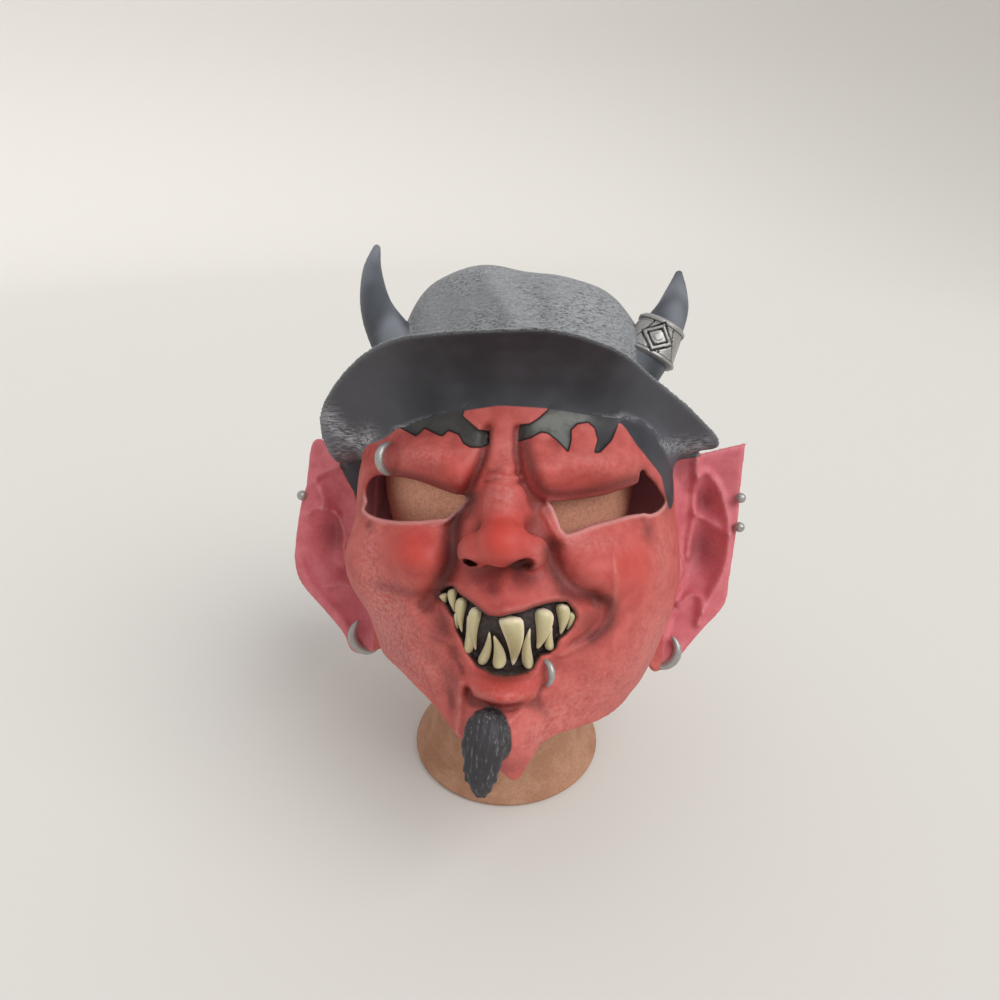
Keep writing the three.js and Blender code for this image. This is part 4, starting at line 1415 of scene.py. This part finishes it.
# %% [markdown]
# Each ring is a crescent, because its ends go into the skin, and each stud is a ball. Both are small
# grids of corners that run round and along.

# %% A ring and a stud
def crescent_shell(middle, radius, thickness, plane_turned, faces_out, spread):
    """Part of a ring, thick in its middle and thin where it goes into the skin. faces_out is the angle,
    in its own upright plane, of its thickest place; spread is how far round it runs, in radians."""
    columns, rows = 16, 36
    turn_by = Matrix.Rotation(plane_turned, 3, "Z")
    stack = []
    for k in range(rows):
        share = k / (rows - 1)
        a = faces_out + (share - 0.5) * spread
        swell = thickness * max(math.sin(math.pi * share), 0.0) ** 0.5 if 0 < k < rows - 1 else 0.0
        for j in range(columns):
            b = 2.0 * math.pi * j / columns
            r = radius + swell * math.cos(b)
            p = turn_by @ Vector((r * math.cos(a), swell * math.sin(b), r * math.sin(a)))
            stack.append((p.x + middle[0], p.y + middle[1], p.z + middle[2]))
    return np.array(stack), grid_faces(columns, rows)


def stud_shell(at, radius):
    """A ball whose poles point to the front and to the back."""
    columns, rows = 16, 10
    stack = []
    for k in range(rows):
        b = math.pi * k / (rows - 1)
        for j in range(columns):
            a = 2.0 * math.pi * j / columns
            stack.append((at[0] + radius * math.sin(b) * math.cos(a), at[1] - radius * math.cos(b),
                          at[2] + radius * math.sin(b) * math.sin(a)))
    return np.array(stack), grid_faces(columns, rows)


# %% The rings and studs in their places
stud_radius = 3.4
crescents = [
    # name, middle, radius, thickness, turn of its plane, angle of its thickest place, spread
    ("brow", (-72.5, -face_front(-72.5, 23) + 1.5, 23.0), 9.0, 2.7, 0.85, math.pi, 3.0),
    ("lip", (16.5, -face_front(16.5, -89) + 1.5, -89.0), 7.5, 2.0, -0.75, 0.2, 2.8),
    ("left ear", (-98.5, 1.0, -94.0), 11.5, 3.2, 0.3, math.pi + 0.55, 3.0),
    ("right ear", (93.5, 1.0, -96.0), 11.5, 3.2, -0.3, -0.6, 3.0),
]
studs = [(-146.8, 3.0, -2.5), (142.5, 3.0, 4.0), (142.5, 3.0, -15.0)]
jewellery = [crescent_shell(*numbers) for _, *numbers in crescents]
jewellery += [stud_shell(at, stud_radius) for at in studs]
jewellery_object = shell_mesh("jewellery", jewellery, silver)
print("rings and studs:", len(jewellery))

# %% [markdown]
# The cuff is a wide band round one horn with a rolled edge above and below. On its front is a lozenge with a
# bead, and slanted panels run round the rest. What is sunk is painted black, as if the silver were old.

# %% Relief of the cuff
cuff_half_height = 11.5
cuff_middle_radius = 14.4
lozenge_half = (9.5, 8.4)
bead_radius = 2.2
panel_top = 8.3
panel_width = 10.05
panel_slant = 0.45
sunk = -0.5


def cuff_relief(angle, h):
    """Raised height on the band: a lozenge plate with a bead in front, and plain panels split by grooves."""
    from_front = ((angle + math.pi) % (2 * math.pi) - math.pi) * cuff_middle_radius
    lozenge = abs(from_front) / lozenge_half[0] + abs(h) / lozenge_half[1]
    if math.hypot(from_front, h) < bead_radius:
        return 1.9
    if lozenge < 1.0:
        return sunk if 0.58 < lozenge < 0.72 else 1.4
    if lozenge < 1.16 or abs(abs(h) - panel_top) < 0.35:
        return sunk
    if abs(h) > panel_top:
        return 0.6
    along_panel = (from_front + math.copysign(panel_slant, from_front) * h) % panel_width
    return sunk if along_panel < 0.8 else 0.7


# %% Horn cuff
cuff_at = Vector((78.0, -37.0, 97.0))
cuff_tilt = math.radians(26.0)
cuff_bore = 6.0
cuff_profile = [
    (-cuff_half_height, 16.0), (-10.2, 17.2), (-8.6, 17.0), (-7.6, 15.8), (7.0, 13.4), (8.2, 14.2),
    (10.2, 14.2), (cuff_half_height, 13.2),
]


def cuff_shell():
    """The band from below up and back down through its bore, with the share of black at each corner."""
    columns, rows = 180, 50
    tilt = Matrix.Rotation(cuff_tilt, 3, "Y")
    levels = [(h, np.interp(h, *zip(*cuff_profile))) for h in np.linspace(-1, 1, rows) * cuff_half_height]
    levels += [(cuff_half_height, cuff_bore), (-cuff_half_height, cuff_bore)]
    stack, dark = [], []
    for k, (h, radius) in enumerate(levels):
        for j in range(columns):
            a = 2.0 * math.pi * j / columns
            raised = cuff_relief(a, h) if 2 < k < rows - 3 else 0.0
            r = radius + raised * 0.8
            stack.append(tuple(tilt @ Vector((r * math.sin(a), -r * math.cos(a), h)) + cuff_at))
            dark.append(1.0 if raised < 0.0 else 0.0)
    return np.array(stack), grid_faces(columns, len(levels), closed_rows=True), dark


cuff_object = shell_mesh("cuff", [cuff_shell()], silver)
print("cuff corners:", len(cuff_object.data.vertices))

# %% [markdown]
# ## One mask
#
# The shells are joined to the casting, so the mask is one piece, as the real one is.

# %% Join the casting
bpy.ops.object.select_all(action="DESELECT")
for obj in (teeth_object, jewellery_object, cuff_object, mask):
    obj.select_set(True)
bpy.context.view_layer.objects.active = mask
bpy.ops.object.join()
mask.data.transform(worn)
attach(mask, "root")
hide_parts("latex_mask")
print("mask faces:", len(mask.data.polygons))

# %% [markdown]
# ## The display head
#
# A milliner's block: cork and foam covered with tan canvas, a neck and a flared round foot. It is a turned
# form, so it is a lathe, made a little deeper than wide above the neck.

# %% Display head
block_profile = [(62, 12), (54, 36), (50, 70), (51, 104), (63, 134), (73, 170), (81, 214), (78.5, 250),
                 (60, 296), (40, 323), (18, 335.5), (0.02, 339)]
foot_profile = [(0.02, 0), (66, 0), (69, 0.6), (70, 2), (69.6, 3.6), (67.8, 5.6), (65, 8)]
head_rings = np.vstack([np.array(foot_profile, dtype=float), smooth_curve(block_profile, 6)])
half_width, half_depth = 77.5, 85.0
moved_right, moved_back = 1.2, 10.0
seam_depth = 0.35
seams_from = 12.0


def head_shell():
    """The block as rings of corners, with six sewn seams that run up it."""
    columns = 128
    stack = []
    for radius, height in head_rings:
        in_head = float(step(np.array(height), 100.0, 180.0))
        deeper = 1.0 + (half_depth / half_width - 1.0) * in_head
        for j in range(columns):
            a = 2.0 * math.pi * j / columns
            from_seam = abs((a * 3 / math.pi + 0.5) % 1.0 - 0.5)
            r = radius - (seam_depth * math.exp(-(from_seam / 0.02) ** 2) if height > seams_from else 0.0)
            stack.append((r * math.cos(a) + moved_right * in_head,
                          r * math.sin(a) * deeper + moved_back * in_head, height))
    return np.array(stack), grid_faces(columns, len(head_rings))


# %% [markdown]
# Canvas of this weight has a thread every 0.9 mm. Noise stretched along the threads, once each way, gives a
# weave that looks hand made. Up where the mask covers it, the canvas is painted paler: painted light, for the
# daylight that falls on it through the eye holes.

# %% Canvas
thread = 0.9
canvas, tree, surface = new_material("tan_display_canvas", Roughness=0.85, IOR=1.4)
place = node("TexCoord", out="Object")
threads_up = grain(thread, 2.0, 0.6, (1.0, 1.0, 0.3))
threads_across = grain(thread, 2.0, 0.6, (0.3, 0.3, 1.0))
weave = node("Math", threads_up, threads_across, operation="MAXIMUM")
height_up = node("SeparateXYZ", place, out="Z")
canvas_paint = painted("#a67a5f", [
    ("#b58a70", grain(18.0, fade=(0.35, 0.65)), 1.0),
    # painted light: paler up in the head, where daylight comes through the eye holes
    ("#e3a68a", node("MapRange", height_up, 160.0 * MM, 220.0 * MM, **soft), 1.0),
    ("#8a624b", node("MapRange", weave, 0.6, 0.45, **soft), 0.35),
])
finished(surface, canvas_paint, weave, 0.35, 0.4)

# %% The head in its place
head = shell_mesh("display_head_canvas", [head_shell()], canvas)
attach(head, "root")
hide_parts("display_head")
print("head faces:", len(head.data.polygons))

# %% [markdown]
# ## Stage and light
#
# A pale sweep: a flat floor that curves up far away into a low wall all round, so no horizon line shows.

# %% Floor
flat_radius = 2200
sweep_radius = 800
wall_top = 1100


def floor_dish():
    """A flat disc that sweeps up into a wall, as rings of corners round a middle."""
    columns = 96
    bend = np.linspace(0.1, math.pi / 2, 12)
    profile = [(400, 0), (1500, 0), (flat_radius, 0)]
    profile += [(flat_radius + sweep_radius * math.sin(t), sweep_radius * (1 - math.cos(t))) for t in bend]
    profile += [(flat_radius + sweep_radius, wall_top)]
    bm = bmesh.new()
    rings_made = []
    for radius, height in profile:
        rings_made.append([bm.verts.new((radius * MM * math.cos(2 * math.pi * j / columns),
                                         radius * MM * math.sin(2 * math.pi * j / columns), height * MM))
                           for j in range(columns)])
    middle = bm.verts.new((0, 0, 0))
    for j in range(columns):
        bm.faces.new((middle, rings_made[0][j], rings_made[0][(j + 1) % columns]))
    for low_ring, high_ring in zip(rings_made, rings_made[1:]):
        for j in range(columns):
            n = (j + 1) % columns
            bm.faces.new((low_ring[j], high_ring[j], high_ring[n], low_ring[n]))
    mesh = bpy.data.meshes.new("floor")
    bm.to_mesh(mesh)
    bm.free()
    mesh.shade_smooth()
    return linked("floor", mesh)


floor = floor_dish()
paper, tree, surface = new_material("pale_paper", Roughness=0.9, Base__Color=linear("#dad7d1"))
floor.data.materials.append(paper)
floor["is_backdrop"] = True
print("floor across:", 2 * (flat_radius + sweep_radius) / 1000, "m")

# %% [markdown]
# ## Light
#
# The photo has soft daylight from the upper right and a bright room that fills the shadows. So there is one
# large far softbox, and an even pale world.

# %% Lights
world = bpy.data.worlds.new("room")
world.use_nodes = True
world.node_tree.nodes["Background"].inputs["Color"].default_value = linear("#fbfbfc")
world.node_tree.nodes["Background"].inputs["Strength"].default_value = 0.72
bpy.context.scene.world = world


def far_softbox(name, comes_from, softness, strength):
    """Light from a large softbox so far away that it is even over the whole floor. Softness is its width in
    degrees as the mask sees it."""
    lamp = bpy.data.lights.new(name, "SUN")
    lamp.angle = math.radians(softness)
    lamp.energy = strength
    made = bpy.data.objects.new(name, lamp)
    bpy.context.scene.collection.objects.link(made)
    made.location = comes_from
    made.rotation_euler = Vector(comes_from).to_track_quat("Z", "Y").to_euler()
    return made


far_softbox("key", (1.5, -1.1, 1.9), 46.0, 1.75)
bpy.context.scene.view_settings.view_transform = "Standard"
bpy.context.scene.view_settings.look = "None"

# %% [markdown]
# ## How large it came out
#
# Both boxes, the CAD model's and the visual model's, are printed side by side. The visual model
# has to stay close to the CAD model's box.

# %% Sizes
finished_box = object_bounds()
boxes = {"cad": cad_box, "visual": finished_box}
boxes = {name: [list(map(float, corner)) for corner in box] for name, box in boxes.items()}
print("boxes in metres:", boxes)
